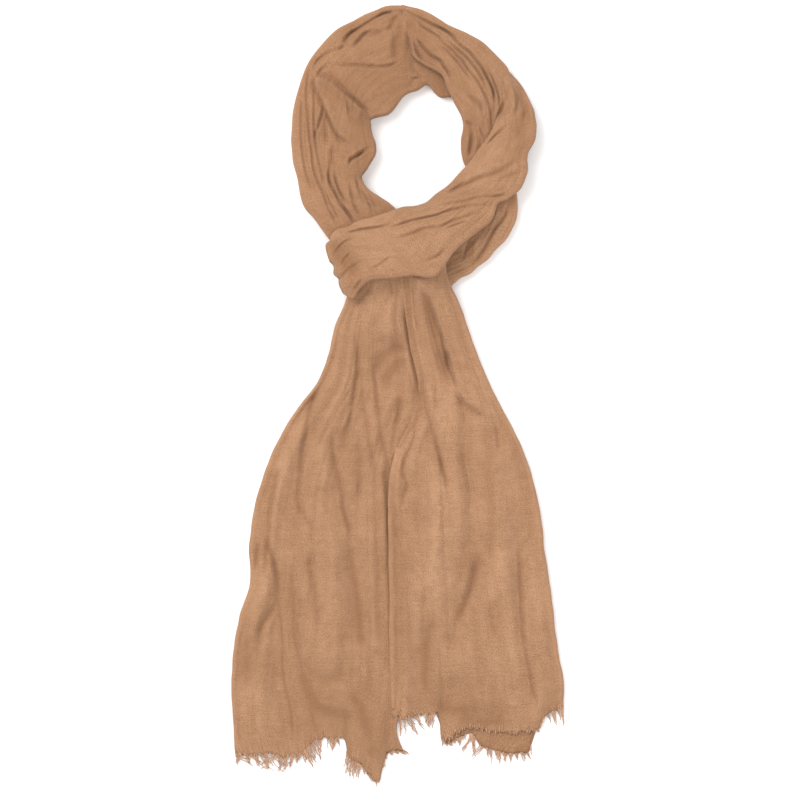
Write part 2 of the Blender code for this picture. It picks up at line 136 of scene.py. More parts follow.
def fromCrease(line, x, y):
    # of the nearest place on the line: how far off, on which side, its share along, its normal
    near, side, place = np.full(x.shape, 1e9), np.zeros_like(x), np.zeros_like(x)
    nx, ny = np.zeros_like(x), np.zeros_like(x)
    count = len(line) - 1
    for k in range(count):
        (ax, ay), (bx, by) = line[k], line[k + 1]
        dx, dy = bx - ax, by - ay
        size = math.hypot(dx, dy) + 1e-9
        share = np.clip(((x - ax) * dx + (y - ay) * dy) / size**2, 0, 1)
        away = np.hypot(x - ax - share * dx, y - ay - share * dy)
        closer = away < near
        near = np.where(closer, away, near)
        side = np.where(closer, np.sign(dx * (y - ay) - dy * (x - ax)), side)
        place = np.where(closer, (k + share) / count, place)
        nx, ny = np.where(closer, -dy / size, nx), np.where(closer, dx / size, ny)
    return near, side, place, nx, ny


crease = {
    "hollow": 4.5,      # width of the wide hollow round a trough, in widths of the fold
    "slope": 3.2,       # the same for the fall behind a lapping edge
    "lip": 0.28,        # how high the lips of a trough stand, for a depth of 1
    "lapLip": 0.42,     # and where one side laps over the other
    "fullShade": 5,     # millimetres of depth that shade a trough fully
    "fullLean": 4,      # millimetres of height at which a lapping edge leans fully
}


def creaseField(piece, x, y):
    # what the listed folds do at each point: rise, push sideways, and the painted shade they give
    rise, pushX, pushY, creaseShade = (np.zeros_like(x) for k in range(4))
    hollow = piece["basin"]
    for height, width, lap, *points in piece["folds"]:
        line = creaseLine(points)
        reach = 6 * width + 5
        low, high = line.min(axis=0) - reach, line.max(axis=0) + reach
        here = (x > low[0]) & (x < high[0]) & (y > low[1]) & (y < high[1])
        if not here.any():
            continue
        near, side, place, nx, ny = fromCrease(line, x[here], y[here])
        ends = min(0.3, piece["fade"] / np.hypot(*np.diff(line, axis=0).T).sum())
        fade = ease(place * (4 if abs(lap) == 2 else 1) / ends) * ease((1 - place) / ends)
        lap = np.sign(lap)
        signed = near * side * (lap or 1)
        off = np.abs(signed)
        if height < 0:
            width = width * piece["fineness"]
            core = 0.4 * bell(near, width) + 0.6 * decay(near, 0.95 * width)
            lips = bell(near - 2.0 * width, 1.2 * width)
            basin = bell(near, crease["hollow"] * width)
            shape = (1 - 0.4 * hollow) * core - crease["lip"] * lips + hollow * basin
            if lap:
                far = np.where(signed < 0, decay(off, crease["slope"] * width), core)
                shape = 0.6 * core + 0.4 * far - crease["lapLip"] * lips * (signed > 0)
            rise[here] += fade * height * shape
            # painted shade along the trough, fuller for deeper troughs
            dark = (1 - 0.35 * hollow) * bell(near, 0.62 * width) + 0.3 * hollow * basin
            dark = fade * dark * min(1.0, -height / crease["fullShade"])
            creaseShade[here] = np.maximum(creaseShade[here], dark)
        elif lap:
            lip = np.where(signed > 0, decay(off, crease["slope"] * width), 0.0)
            lip = lip * (1 - decay(off, 1.3))
            gap = np.where(signed <= 0.4, bell(signed + 1.0, width), 0.0)
            lean = np.where(signed > 0, -decay(off, 2.4), 0.5 * decay(off, 1.5))
            lean = lean * fade * min(1.0, height / crease["fullLean"])
            pushX[here] += lean * nx * lap
            pushY[here] += lean * ny * lap
            rise[here] += fade * (height * lip - 0.55 * height * gap)
            # painted shade in the gap under the lapping edge
            creaseShade[here] = np.maximum(creaseShade[here], fade * gap)
        else:
            rise[here] += fade * height * bell(near, width)
    return rise, pushX, pushY, creaseShade


def setShares(mesh, shares):
    # named numbers for each point of a mesh
    for title, values in shares.items():
        attribute = mesh.attributes.new(title, "FLOAT", "POINT")
        attribute.data.foreach_set("value", values.astype(np.float32).ravel())


def ringFaces(rows, columns):
    # the four corners of each face of a tube
    index = np.arange(rows * columns).reshape(rows, columns)
    after = np.roll(index, -1, axis=1)
    return np.stack([index[:-1], after[:-1], after[1:], index[1:]], axis=2).reshape(-1, 4)


class LaidCloth:
    # the highest cloth laid so far, over the plan
    def __init__(self):
        halfX, halfY = drape["halfMap"]
        self.x = np.arange(-halfX, halfX + 1, drape["cell"])
        self.y = np.arange(-halfY, halfY + 1, drape["cell"])
        self.height = np.zeros((len(self.y), len(self.x)))

    def lay(self, grid):
        faces = ringFaces(*grid.shape[:2])
        tree = BVHTree.FromPolygons(grid.reshape(-1, 3).tolist(), faces.tolist())
        low, high = grid.min(axis=(0, 1)), grid.max(axis=(0, 1))
        down = Vector((0, 0, -1))
        for j in np.nonzero((self.y > low[1]) & (self.y < high[1]))[0]:
            for i in np.nonzero((self.x > low[0]) & (self.x < high[0]))[0]:
                hit = tree.ray_cast(Vector((self.x[i], self.y[j], 200)), down)[0]
                if hit is not None and hit.z > self.height[j, i]:
                    self.height[j, i] = hit.z

    def grown(self, grid, drop):
        # each cell takes its highest neighbour, less a drop for each cell of distance
        wide = np.pad(grid, 1, mode="edge")
        rows, columns = grid.shape
        best = grid
        for j in (0, 1, 2):
            for i in (0, 1, 2):
                fall = drop * math.hypot(j - 1, i - 1)
                best = np.maximum(best, wide[j:j + rows, i:i + columns] - fall)
        return best

    def bridged(self):
        # as cloth lies on it: spread by its reach, then falling at a slope, then softened
        spread = self.height
        for k in range(int(math.ceil(drape["reach"] / drape["cell"]))):
            spread = self.grown(spread, 0.0)
        for k in range(drape["slopeCells"]):
            spread = self.grown(spread, drape["slope"] * drape["cell"])
        for k in range(2):
            wide = np.pad(spread, 1, mode="edge")
            spread = (wide[:-2, 1:-1] + wide[2:, 1:-1] + wide[1:-1, :-2] + wide[1:-1, 2:]
                      + 2 * spread) / 6
        return spread

    def sample(self, grid, x, y):
        # the height at which a piece of cloth rests at each point
        u = np.clip((x - self.x[0]) / drape["cell"], 0, len(self.x) - 1.001)
        v = np.clip((y - self.y[0]) / drape["cell"], 0, len(self.y) - 1.001)
        i, j = u.astype(int), v.astype(int)
        u, v = u - i, v - j
        low = grid[j, i] * (1 - u) + grid[j, i + 1] * u
        high = grid[j + 1, i] * (1 - u) + grid[j + 1, i + 1] * u
        height = low * (1 - v) + high * v
        return np.where(height > 0.01, height + drape["air"], 0.0)


def outlineColumns(piece, widest):
    # the columns round one section: share across, level, side, kind
    topSteps = int(widest / piece["columnStep"])
    underSteps = max(8, int(widest / (3.2 * piece["columnStep"])))
    shoulder = piece["shoulder"]
    rise = np.linspace(0, shoulder, piece["edgeSteps"])
    columns = [(0.0, level, 1.0, edgeKind) for level in rise]
    for i in range(topSteps + 1):
        c = i / topSteps
        dome = (1 - abs(1.9 * c - 0.95) ** 2.4) ** 0.8
        columns.append((c, shoulder + 0.05 + (0.95 - shoulder) * dome, 1 - 2 * c, topKind))
    columns += [(1.0, level, -1.0, edgeKind) for level in rise[::-1]]
    for i in range(1, underSteps):
        c = 1 - i / underSteps
        columns.append((c, 0.0, 1 - 2 * c, underKind))
    return np.array(columns)


def edgeInset(piece, level, side, along):
    # how far a turned edge lies inside its line: rolled layers, or one fold of cloth
    if piece["layers"] < 2:
        levels, insets = (0, 0.1, 0.3, 0.45, 0.6), (1.4, 0.5, 0.0, 0.15, 0.6)
        return np.interp(level, levels, insets) + 0 * along
    drift = 0.3 * wander(along / 38, 0 * along + 3.7 * side, piece["seed"] + 5)
    turn = level / piece["shoulder"] * piece["layers"] * (1 + 0.1 * drift) + drift
    groove = (1 - np.abs(np.sin(math.pi * turn))) ** 2.2
    deepness = 1.5 + 0.9 * wander(along / 25, turn, piece["seed"] + 6)
    tuck = 1.9 * np.clip(1 - level / 0.1, 0, 1)
    return 0.3 + groove * np.clip(deepness, 0.3, 2.2) + tuck


def wrinkleField(piece, u, v):
    # fine wrinkles that run along the cloth, each set of its own width, length and depth, with painted
    # shade along their lines
    rise, creaseShade = np.zeros_like(u), np.zeros_like(u)
    for number, (kind, wide, long, height) in enumerate(piece["wrinkles"]):
        seed = piece["seed"] * 10 + number
        bend = 1.2 * wander(u / (6 * wide), v / long, seed + 400)
        n = wander(u / wide + bend, v / long, seed)
        where = ease(0.5 + 1.3 * wander(u / (4 * wide), v / (0.8 * long), seed + 700))
        line = bell(n, 0.16)
        if kind == "pinch":
            line = line * where
            rise += height * (0.9 * np.abs(n) - line)
            creaseShade = np.maximum(creaseShade, 0.35 * line)
        elif kind == "pleat":
            rise += height * (1.3 * np.sqrt(n * n + 0.002) - 0.6)
            creaseShade = np.maximum(creaseShade, 0.2 * line)
        else:
            rise += height * n * (0.35 + 0.65 * where)
    return rise, creaseShade


def hemmedEnd(piece, x, y, level, lastY):
    # carries the last 16% of the rows to the hem's line, whose last 1.5% are ragged
    table = np.array(piece["hem"], float)
    under = np.interp(x, table[:, 0], table[:, 2])
    target = under + (np.interp(x, table[:, 0], table[:, 1]) - under) * np.clip(level / 0.5, 0, 1)

    def torn(size, turn, number):
        return wander(x / size, 0 * x + turn * level, piece["seed"] + number)

    ragged = 1.4 * torn(8, 1, 9) - 4.5 * (1 - np.abs(torn(4.4, 0.6, 8))) ** 5
    ragged += 0.9 * torn(2.4, 1, 12) + 1.2
    place = np.linspace(0, 1, len(x))[:, None]
    y = y + (target - lastY) * np.clip((place - 0.84) / 0.16, 0, 1)
    return y + ragged * np.clip((place - 0.985) / 0.015, 0, 1), target, place


def stretchGrid(piece, laid):
    # the points of one piece of cloth in rows round it, laid on what is below
    rows, along = smoothRows(piece["sections"], piece["rowStep"])
    widths = [math.hypot(r[2] - r[0], r[3] - r[1]) for r in piece["sections"]]
    columns = outlineColumns(piece, max(widths))
    ox, oy, ix, iy, crown = (rows[:, k:k + 1] for k in range(5))
    across, level, side, kind = (columns[None, :, k] for k in range(4))
    width = np.hypot(ix - ox, iy - oy)
    v = along[:, None] + 0 * across

    # the outline, its rolled edges and its dents
    topInset, bundleInset, layerInset = drape["insets"]
    inset = np.where(kind == topKind, topInset, bundleInset if piece["layers"] > 1 else layerInset)
    inset = np.where(kind == edgeKind, edgeInset(piece, level, side, v), inset)
    waver = piece["waver"] * wander(v / 14, 0 * v + 9.3 * (across > 0.5), piece["seed"] + 3)
    waver = waver * np.abs(1 - 2 * across) ** 3
    share = across + (inset * side + waver) / width
    x, y = ox + (ix - ox) * share, oy + (iy - oy) * share
    for notchX, notchY, radius, toX, toY in piece.get("notches", ()):
        near = spotAt(x, y, notchX, notchY, radius)
        x, y = x + toX * near, y + toY * near
    if "hem" in piece:
        lastY = oy[-1] + (iy[-1] - oy[-1]) * share[-1]
        y, target, place = hemmedEnd(piece, x, y, level, lastY)

    # the height, which sinks to what lies below where the piece goes under another
    base = laid.sample(laid.bridged(), x, y)
    inside = np.minimum(across, 1 - across) * width
    rising = ease(v / piece.get("merge", 0.01)) + 0 * x
    edge = v if piece.get("hides") == "start" else np.minimum(inside, v)
    for hiddenX, hiddenY, radius, share in piece.get("hidden", ()):
        close = share * ease(1.6 - 1.6 * np.hypot(x - hiddenX, y - hiddenY) / radius)
        rising = rising * (1 - close * bell(edge, 9))
    start = softMax(laid.sample(laid.height, x, y), base - drape["sag"], 0.6) - drape["sink"]
    base = start + (base - start) * rising
    crown = base + (crown - base) * rising
    least = drape["hiddenLeast"] + (piece["least"] - drape["hiddenLeast"]) * rising
    top = softMax(crown + 0 * base, base + least, 0.1 + drape["softening"] * rising)
    bare, weaker = drape["bareEdge"]
    cover = ease((inside - bare) / weaker) * (kind == topKind) * ease(2 * rising)

    # folds and wrinkles
    rise, pushX, pushY, creaseShade = creaseField(piece, x, y)
    fan = piece.get("fan", 0)
    fine, wrinkleShade = wrinkleField(piece, across * (fan or width) + 0 * v, v)
    if fan:
        fine = fine * np.clip(width / fan, 0.35, 1.3)
    if "hem" in piece:
        toHem = np.clip((place - 0.93) / 0.07, 0, 1)
        cover = cover * (1 - 0.35 * toHem)
        top = base + (top - base) * (1 - 0.66 * toHem**2)
    else:
        # both ends fold shut
        ends = np.minimum(v / 5, (along[-1] - v) / piece["close"])
        shut = np.sqrt(1 - (1 - np.clip(ends, 0, 1)) ** 2)
        top = base + drape["shutHeight"] + (top - base - drape["shutHeight"]) * shut
        least = least * shut
        cover = cover * shut
    z = base + (top - base) * level + (rise + fine) * cover
    z = np.where(kind == topKind, softMax(z, base + 0.42 * least, 0.1 + 0.7 * rising), z)
    x, y = x + pushX * cover, y + pushY * cover
    grid = np.stack([x, y, z], axis=2)
    grid = (np.roll(grid, 1, axis=1) + 2 * grid + np.roll(grid, -1, axis=1)) / 4
    grid[1:-1] = (grid[:-2] + 2 * grid[1:-1] + grid[2:]) / 4
    grid[..., 2] = np.maximum(grid[..., 2], 0.0)

    # the painted shade and light on the cloth at each point, its painted rim light, and how worn it is
    # near a hem
    outside = kind != underKind
    # painted shade: a base for the whole piece, raised in creases and wrinkles
    shade = piece["tone"] + (1 - piece["tone"]) * np.maximum(creaseShade, wrinkleShade) * cover
    # painted shade near the edges, where the cloth turns away
    shade = shade + piece["turned"] * decay(inside, 5) * outside
    # painted shade on the underside
    shade = shade + piece.get("inner", 0) * (kind == underKind)
    # painted shade in given spots, painted light where the share is below 0
    for spotX, spotY, radius, share in piece.get("shadeSpots", ()):
        shade = shade + share * spotAt(x, y, spotX, spotY, radius) * outside
    # painted light on ridges and painted shade in hollows
    shade = np.clip(shade - piece["heightShade"] * np.clip(rise + fine, -5, 5) * cover, 0, 1)
    # painted rim light: a lighter, warmer colour near the outer edges
    rimLight = decay(inside, 2.5) * outside * (1 - 2.5 * piece["turned"])
    comb = decay(np.maximum(y - target, 0), 9) if "hem" in piece else 0 * v
    return grid, v, {"paintedShade": shade, "rimLightShare": rimLight, "combShare": comb}, columns


def clothMesh(name, grid, along, shares, material):
    rows, columns = grid.shape[:2]
    faces = ringFaces(rows, columns)
    # the map: metres round the piece, smoothed over 15 rows, and along it
    step = np.linalg.norm(np.roll(grid, -1, axis=1) - grid, axis=2)
    girth = np.concatenate([np.zeros((rows, 1)), np.cumsum(step, axis=1)], axis=1)
    girth = girth - girth[:, columns // 3:columns // 3 + 1]
    wide = np.pad(girth, ((7, 7), (0, 0)), mode="edge")
    kernel = np.ones(15) / 15
    girth = np.apply_along_axis(lambda c: np.convolve(c, kernel, "valid"), 0, wide)
    lengths = np.concatenate([along, along[:, :1]], axis=1)
    uv = np.stack([girth, lengths], axis=2) * millimetre
    corners = np.stack([uv[:-1, :-1], uv[:-1, 1:], uv[1:, 1:], uv[1:, :-1]], axis=2)
    # turned round where the faces point inwards
    points = grid.reshape(-1, 3)
    a, b, c = (points[faces[:, k]] for k in range(3))
    if (np.cross(b - a, c - a) * (a - points.mean(axis=0))).sum() < 0:
        faces, corners = faces[:, ::-1], corners[:, :, ::-1]
    mesh = bpy.data.meshes.new(name)
    mesh.from_pydata(((points + origin) * millimetre).tolist(), [], faces.tolist())
    layer = mesh.uv_layers.new(name="clothMap")
    layer.data.foreach_set("uv", corners.reshape(-1, 2).astype(np.float32).ravel())
    setShares(mesh, shares)
    mesh.materials.append(material)
    mesh.shade_smooth()
    piece = addObject(name, mesh)
    wall = piece.modifiers.new("clothThickness", "SOLIDIFY")
    wall.thickness = drape["thickness"] * millimetre
    wall.offset = -1
    return piece


class Socket:
    # one output of a node, with arithmetic that adds Math nodes
    def __init__(self, tree, socket):
        self.tree = tree
        self.socket = socket

    def also(self, output):
        return Socket(self.tree, self.socket.node.outputs[output])

    def into(self, socket):
        self.tree.links.new(self.socket, socket)

    def math(self, operation, *others):
        links = dict(enumerate((self, *others)))
        return addNode(self.tree, "ShaderNodeMath", {"operation": operation}, links)

    def __add__(self, other):
        return self.math("ADD", other)

    def __sub__(self, other):
        return self.math("SUBTRACT", other)

    def __rsub__(self, other):
        return addNode(self.tree, "ShaderNodeMath", {"operation": "SUBTRACT"}, {0: other, 1: self})

    def __mul__(self, other):
        return self.math("MULTIPLY", other)

    __radd__ = __add__
    __rmul__ = __mul__


def addNode(tree, kind, settings=None, links=None, output=0):
    # any node: its settings first, then the values or links of its sockets
    node = tree.nodes.new(kind)
    for name, value in (settings or {}).items():
        setattr(node, name, value)
    for key, value in (links or {}).items():
        if isinstance(value, Socket):
            value.into(node.inputs[key])
        else:
            node.inputs[key].default_value = value
    return Socket(tree, node.outputs[output])


def mixColor(factor, first, second):
    settings = {"data_type": "RGBA", "clamp_factor": True}
    return addNode(factor.tree, "ShaderNodeMix", settings, {0: factor, 6: first, 7: second}, 2)


def noiseAt(tree, place, scale, detail):
    return addNode(tree, "ShaderNodeTexNoise", None, {"Vector": place, "Scale": scale, "Detail": detail})


def newMaterial(name, roughness, sheen):
    material = bpy.data.materials.new(name)
    material.use_nodes = True
    shader = material.node_tree.nodes["Principled BSDF"]
    finish = {"Roughness": roughness, "Specular IOR Level": 0.12, "Sheen Weight": sheen,
              "Sheen Roughness": 0.6, "Sheen Tint": (1.0, 0.86, 0.74, 1.0)}
    for title, value in finish.items():
        shader.inputs[title].default_value = value
    return material, material.node_tree, shader


def finishShader(shader, color, height, strength, distance):
    color.into(shader.inputs["Base Color"])
    links = {"Height": height, "Strength": strength, "Distance": distance}
    addNode(color.tree, "ShaderNodeBump", None, links).into(shader.inputs["Normal"])


clothFinish = {
    "dark": (0.226, 0.109, 0.046, 1.0),
    "light": (0.530, 0.306, 0.182, 1.0),
    # crease: the colour of the painted shade in creases, hollows and under edges
    "crease": (0.180, 0.080, 0.034, 1.0),
    "creaseShadeShare": 0.6,
    # rim: the lighter, warmer colour of the painted rim light near the edges
    "rimLight": (0.430, 0.226, 0.128, 1.0),
    "rimLightShare": 0.3,
    "ribWidth": 1.55,        # millimetres from rib to rib of the twill
    "ribSlant": 0.8,
    "ribTurn": 11.0,         # millimetres before the ribs turn back
    "ribTone": 0.13,
    "ribRelief": 0.2,
    "pickWidth": 1.1,
    "pickRelief": 0.16,
    "reliefHeight": 0.00088,
    "reliefStrength": 0.55,
    # noises: scale round the piece and along it, offset, detail, share of the colour and relief
    "weft": (0.07, 0.62, 0.0, 1.0, 0.34, 0.7),
    "nap": (0.62, 0.6, 2.0, 1.0, 0.42, 0.7),
    "grain": (1.5, 1.45, 6.0, 1.0, 2.1, 1.5),
    "warp": (0.6, 0.1, 4.0, 1.0, 0.2, 0.3),
    "patchy": (0.16, 0.12, 5.0, 1.0, 0.3, 0),
    "cloudy": (0.035, 0.025, 9.0, 2.0, 0.5, 0),
    "combed": (1.15, 0.05, 8.0, 1.0, 1.9, 3.5),  # the loose warp at the hems
}


def pashminaMaterial():
    finish = clothFinish
    material, tree, shader = newMaterial("camelPashmina", 0.93, 0.12)
    uv = addNode(tree, "ShaderNodeUVMap", {"uv_map": "clothMap"})
    place = addNode(tree, "ShaderNodeVectorMath", {"operation": "SCALE"}, {0: uv, "Scale": 1000.0})
    u = addNode(tree, "ShaderNodeSeparateXYZ", None, {0: place})
    v = u.also(1)

    def noise(name):
        scaleU, scaleV, offset, detail = finish[name][:4]
        at = addNode(tree, "ShaderNodeCombineXYZ", None, {0: u * scaleU, 1: v * scaleV, 2: offset})
        return noiseAt(tree, at, 1.0, detail)

    def wave(value, width):
        return (value * (2 * math.pi / width)).math("SINE") * 0.5 + 0.5

    def painted(name):
        return addNode(tree, "ShaderNodeAttribute", {"attribute_name": name}, None, 2)

    cloudy = noise("cloudy")
    visible = (cloudy * 2.0 - 0.4).math("MAXIMUM", 0.15)
    turn = v.math("PINGPONG", finish["ribTurn"])
    ribs = wave(u + turn * finish["ribSlant"], finish["ribWidth"])
    height = ribs * finish["ribRelief"] * visible + wave(v, finish["pickWidth"]) * finish["pickRelief"]
    tone = 0.5
    for name in ("weft", "nap", "grain", "warp", "patchy"):
        layer = noise(name)
        tone = tone + (layer - 0.5) * finish[name][4]
        if finish[name][5]:
            height = height + layer * finish[name][5]
    tone = tone + (cloudy - 0.5) * finish["cloudy"][4] + (ribs - 0.5) * visible * finish["ribTone"]
    comb, threads = painted("combShare"), noise("combed")
    tone = tone + (threads - 0.5) * comb * finish["combed"][4]
    height = height + threads * comb * finish["combed"][5]
    base = mixColor(tone, finish["dark"], finish["light"])
    # painted shade: darker in creases, at edges, underneath and in spots, lighter on ridges
    base = mixColor(painted("paintedShade") * finish["creaseShadeShare"], base, finish["crease"])
    # painted rim light near the edges
    base = mixColor(painted("rimLightShare") * finish["rimLightShare"], base, finish["rimLight"])
    finishShader(shader, base, height, finish["reliefStrength"], finish["reliefHeight"])
    return material


yarnFinish = {
    "dark": (0.33, 0.165, 0.088, 1.0),
    "light": (0.56, 0.345, 0.225, 1.0),
    "fleckScale": 420.0,
    "fuzzScale": 2600.0,
    "fuzzHeight": 0.0003,
}


def yarnMaterial():
    finish = yarnFinish
    material, tree, shader = newMaterial("camelYarn", 0.9, 0.2)
    place = addNode(tree, "ShaderNodeTexCoord", None, None, 3)
    fleck = noiseAt(tree, place, finish["fleckScale"], 2.0)
    fuzz = noiseAt(tree, place, finish["fuzzScale"], 2.0)
    base = mixColor(fleck * 1.6 - 0.3, finish["dark"], finish["light"])
    finishShader(shader, base, fuzz, 0.5, finish["fuzzHeight"])
    return material


pashmina = pashminaMaterial()
yarn = yarnMaterial()
print("materials made")

# heightShade: painted light on ridges and painted shade in hollows
# One dictionary for each stretch of cloth, in the order in which they lie.
# sections: outer edge (x, y), inner edge (x, y), height of the crown
# folds: rise (a trough is negative), width, side that laps over or stands up (1 left, -1 right,
#     2 or -2 where it starts at once), then the points (x, y) of its line
# wrinkles: kind, width, length, height; fan: the width of cloth that these widths are for
# notches: middle (x, y), radius, how far the outline is drawn (x, y)
# shadeSpots: middle (x, y), radius, painted shade (painted light below 0); hidden: the same, how far the
# edge sinks there
# hem: x, then y of the upper and of the under layer
# layers, shoulder: how many layers a rolled edge shows, up to what share of the height
# least: millimetres above what lies below; waver: how uneven the outline is
# merge: how soon the start rises out of what lies below; close: how soon the far end shuts
# fade: how soon a fold dies out; basin, fineness: how wide and how fine troughs are
# tone, turned, inner: painted shade of the whole, of its edges, of its underside
# flat: the sheet laid flat, in metres; restsOn: what carries it
bundle = {
    "columnStep": 0.66, "rowStep": 1.65, "edgeSteps": 14,
    "layers": 4, "shoulder": 0.72, "least": 7.0, "waver": 0.9, "close": 9,
    "fade": 13, "basin": 0.15, "fineness": 0.62,
    "tone": 0.6, "turned": 0.14, "heightShade": 0.008,
    "wrinkles": (
        ("soft", 16, 90, 1.1), ("soft", 6, 60, 0.35), ("pinch", 9, 80, 0.5), ("pinch", 5.5, 60, 0.3),
    ),
}
hemmed = {
    "columnStep": 0.95, "rowStep": 2.6, "edgeSteps": 8,
    "layers": 1, "shoulder": 0.6, "least": 5.0, "waver": 0.6,
    "fade": 20, "basin": 0.8, "fineness": 0.85,
    "tone": 0.2, "turned": 0.13, "heightShade": 0.03,
    "wrinkles": (
        ("soft", 40, 300, 2.6), ("pleat", 30, 420, 5.0), ("pleat", 14, 380, 1.8), ("soft", 8, 160, 0.5),
    ),
    "fan": 130,
}
sharedCrease = (4.8, 84, 7.7, 61.6, 11.1, 41, 15.1, 22.6, 19.7, 4.2, 26.6, -17.6, 32, -36)

loopBack = {
    **bundle, "node": "loop_back", "seed": 11, "flat": (0.115, 0.165), "restsOn": ("floor",),
    "notches": (
        (90, 128, 12, -2.4, 1.6), (78, 114, 12, -2.6, 2.4), (58, 103, 8, 0, 2.2), (46, 98, 7, 0, -2.2),
    ),
    "tone": 0.08, "turned": 0.05,
    "sections": (
        (104, 201, 64, 194, 13), (107, 183, 60, 182, 13), (108, 166, 55, 171, 14), (104, 150, 49, 156, 14),
        (95, 134, 40, 146, 14), (83, 119, 31, 138, 13), (67, 108, 20, 132, 12), (49, 99, 9, 129, 12),
        (34, 95, -3, 129, 12), (6, 94, -16, 129, 12), (-21, 96, -29, 130, 12), (-38, 100, -40, 130, 11),
    ),
    "folds": (
        (-3.4, 2.2, 0, 98, 173, 97, 165, 94, 158, 88, 151, 84, 144, 80, 136, 76, 129, 71, 122, 64, 115),
        (-2.6, 1.8, 0, 63, 140, 61, 132, 59, 125, 57, 118),
        (-2.2, 1.5, 0, 44, 120, 43, 112, 44, 105),
        (2.5, 3, 0, 69, 143, 69, 130, 66, 119),
        (2.5, 2.4, 0, 89, 168, 87, 159, 81, 150),
        (-2.5, 1.5, 0, 104, 170, 102, 156, 94, 141, 86, 129),
    ),
}
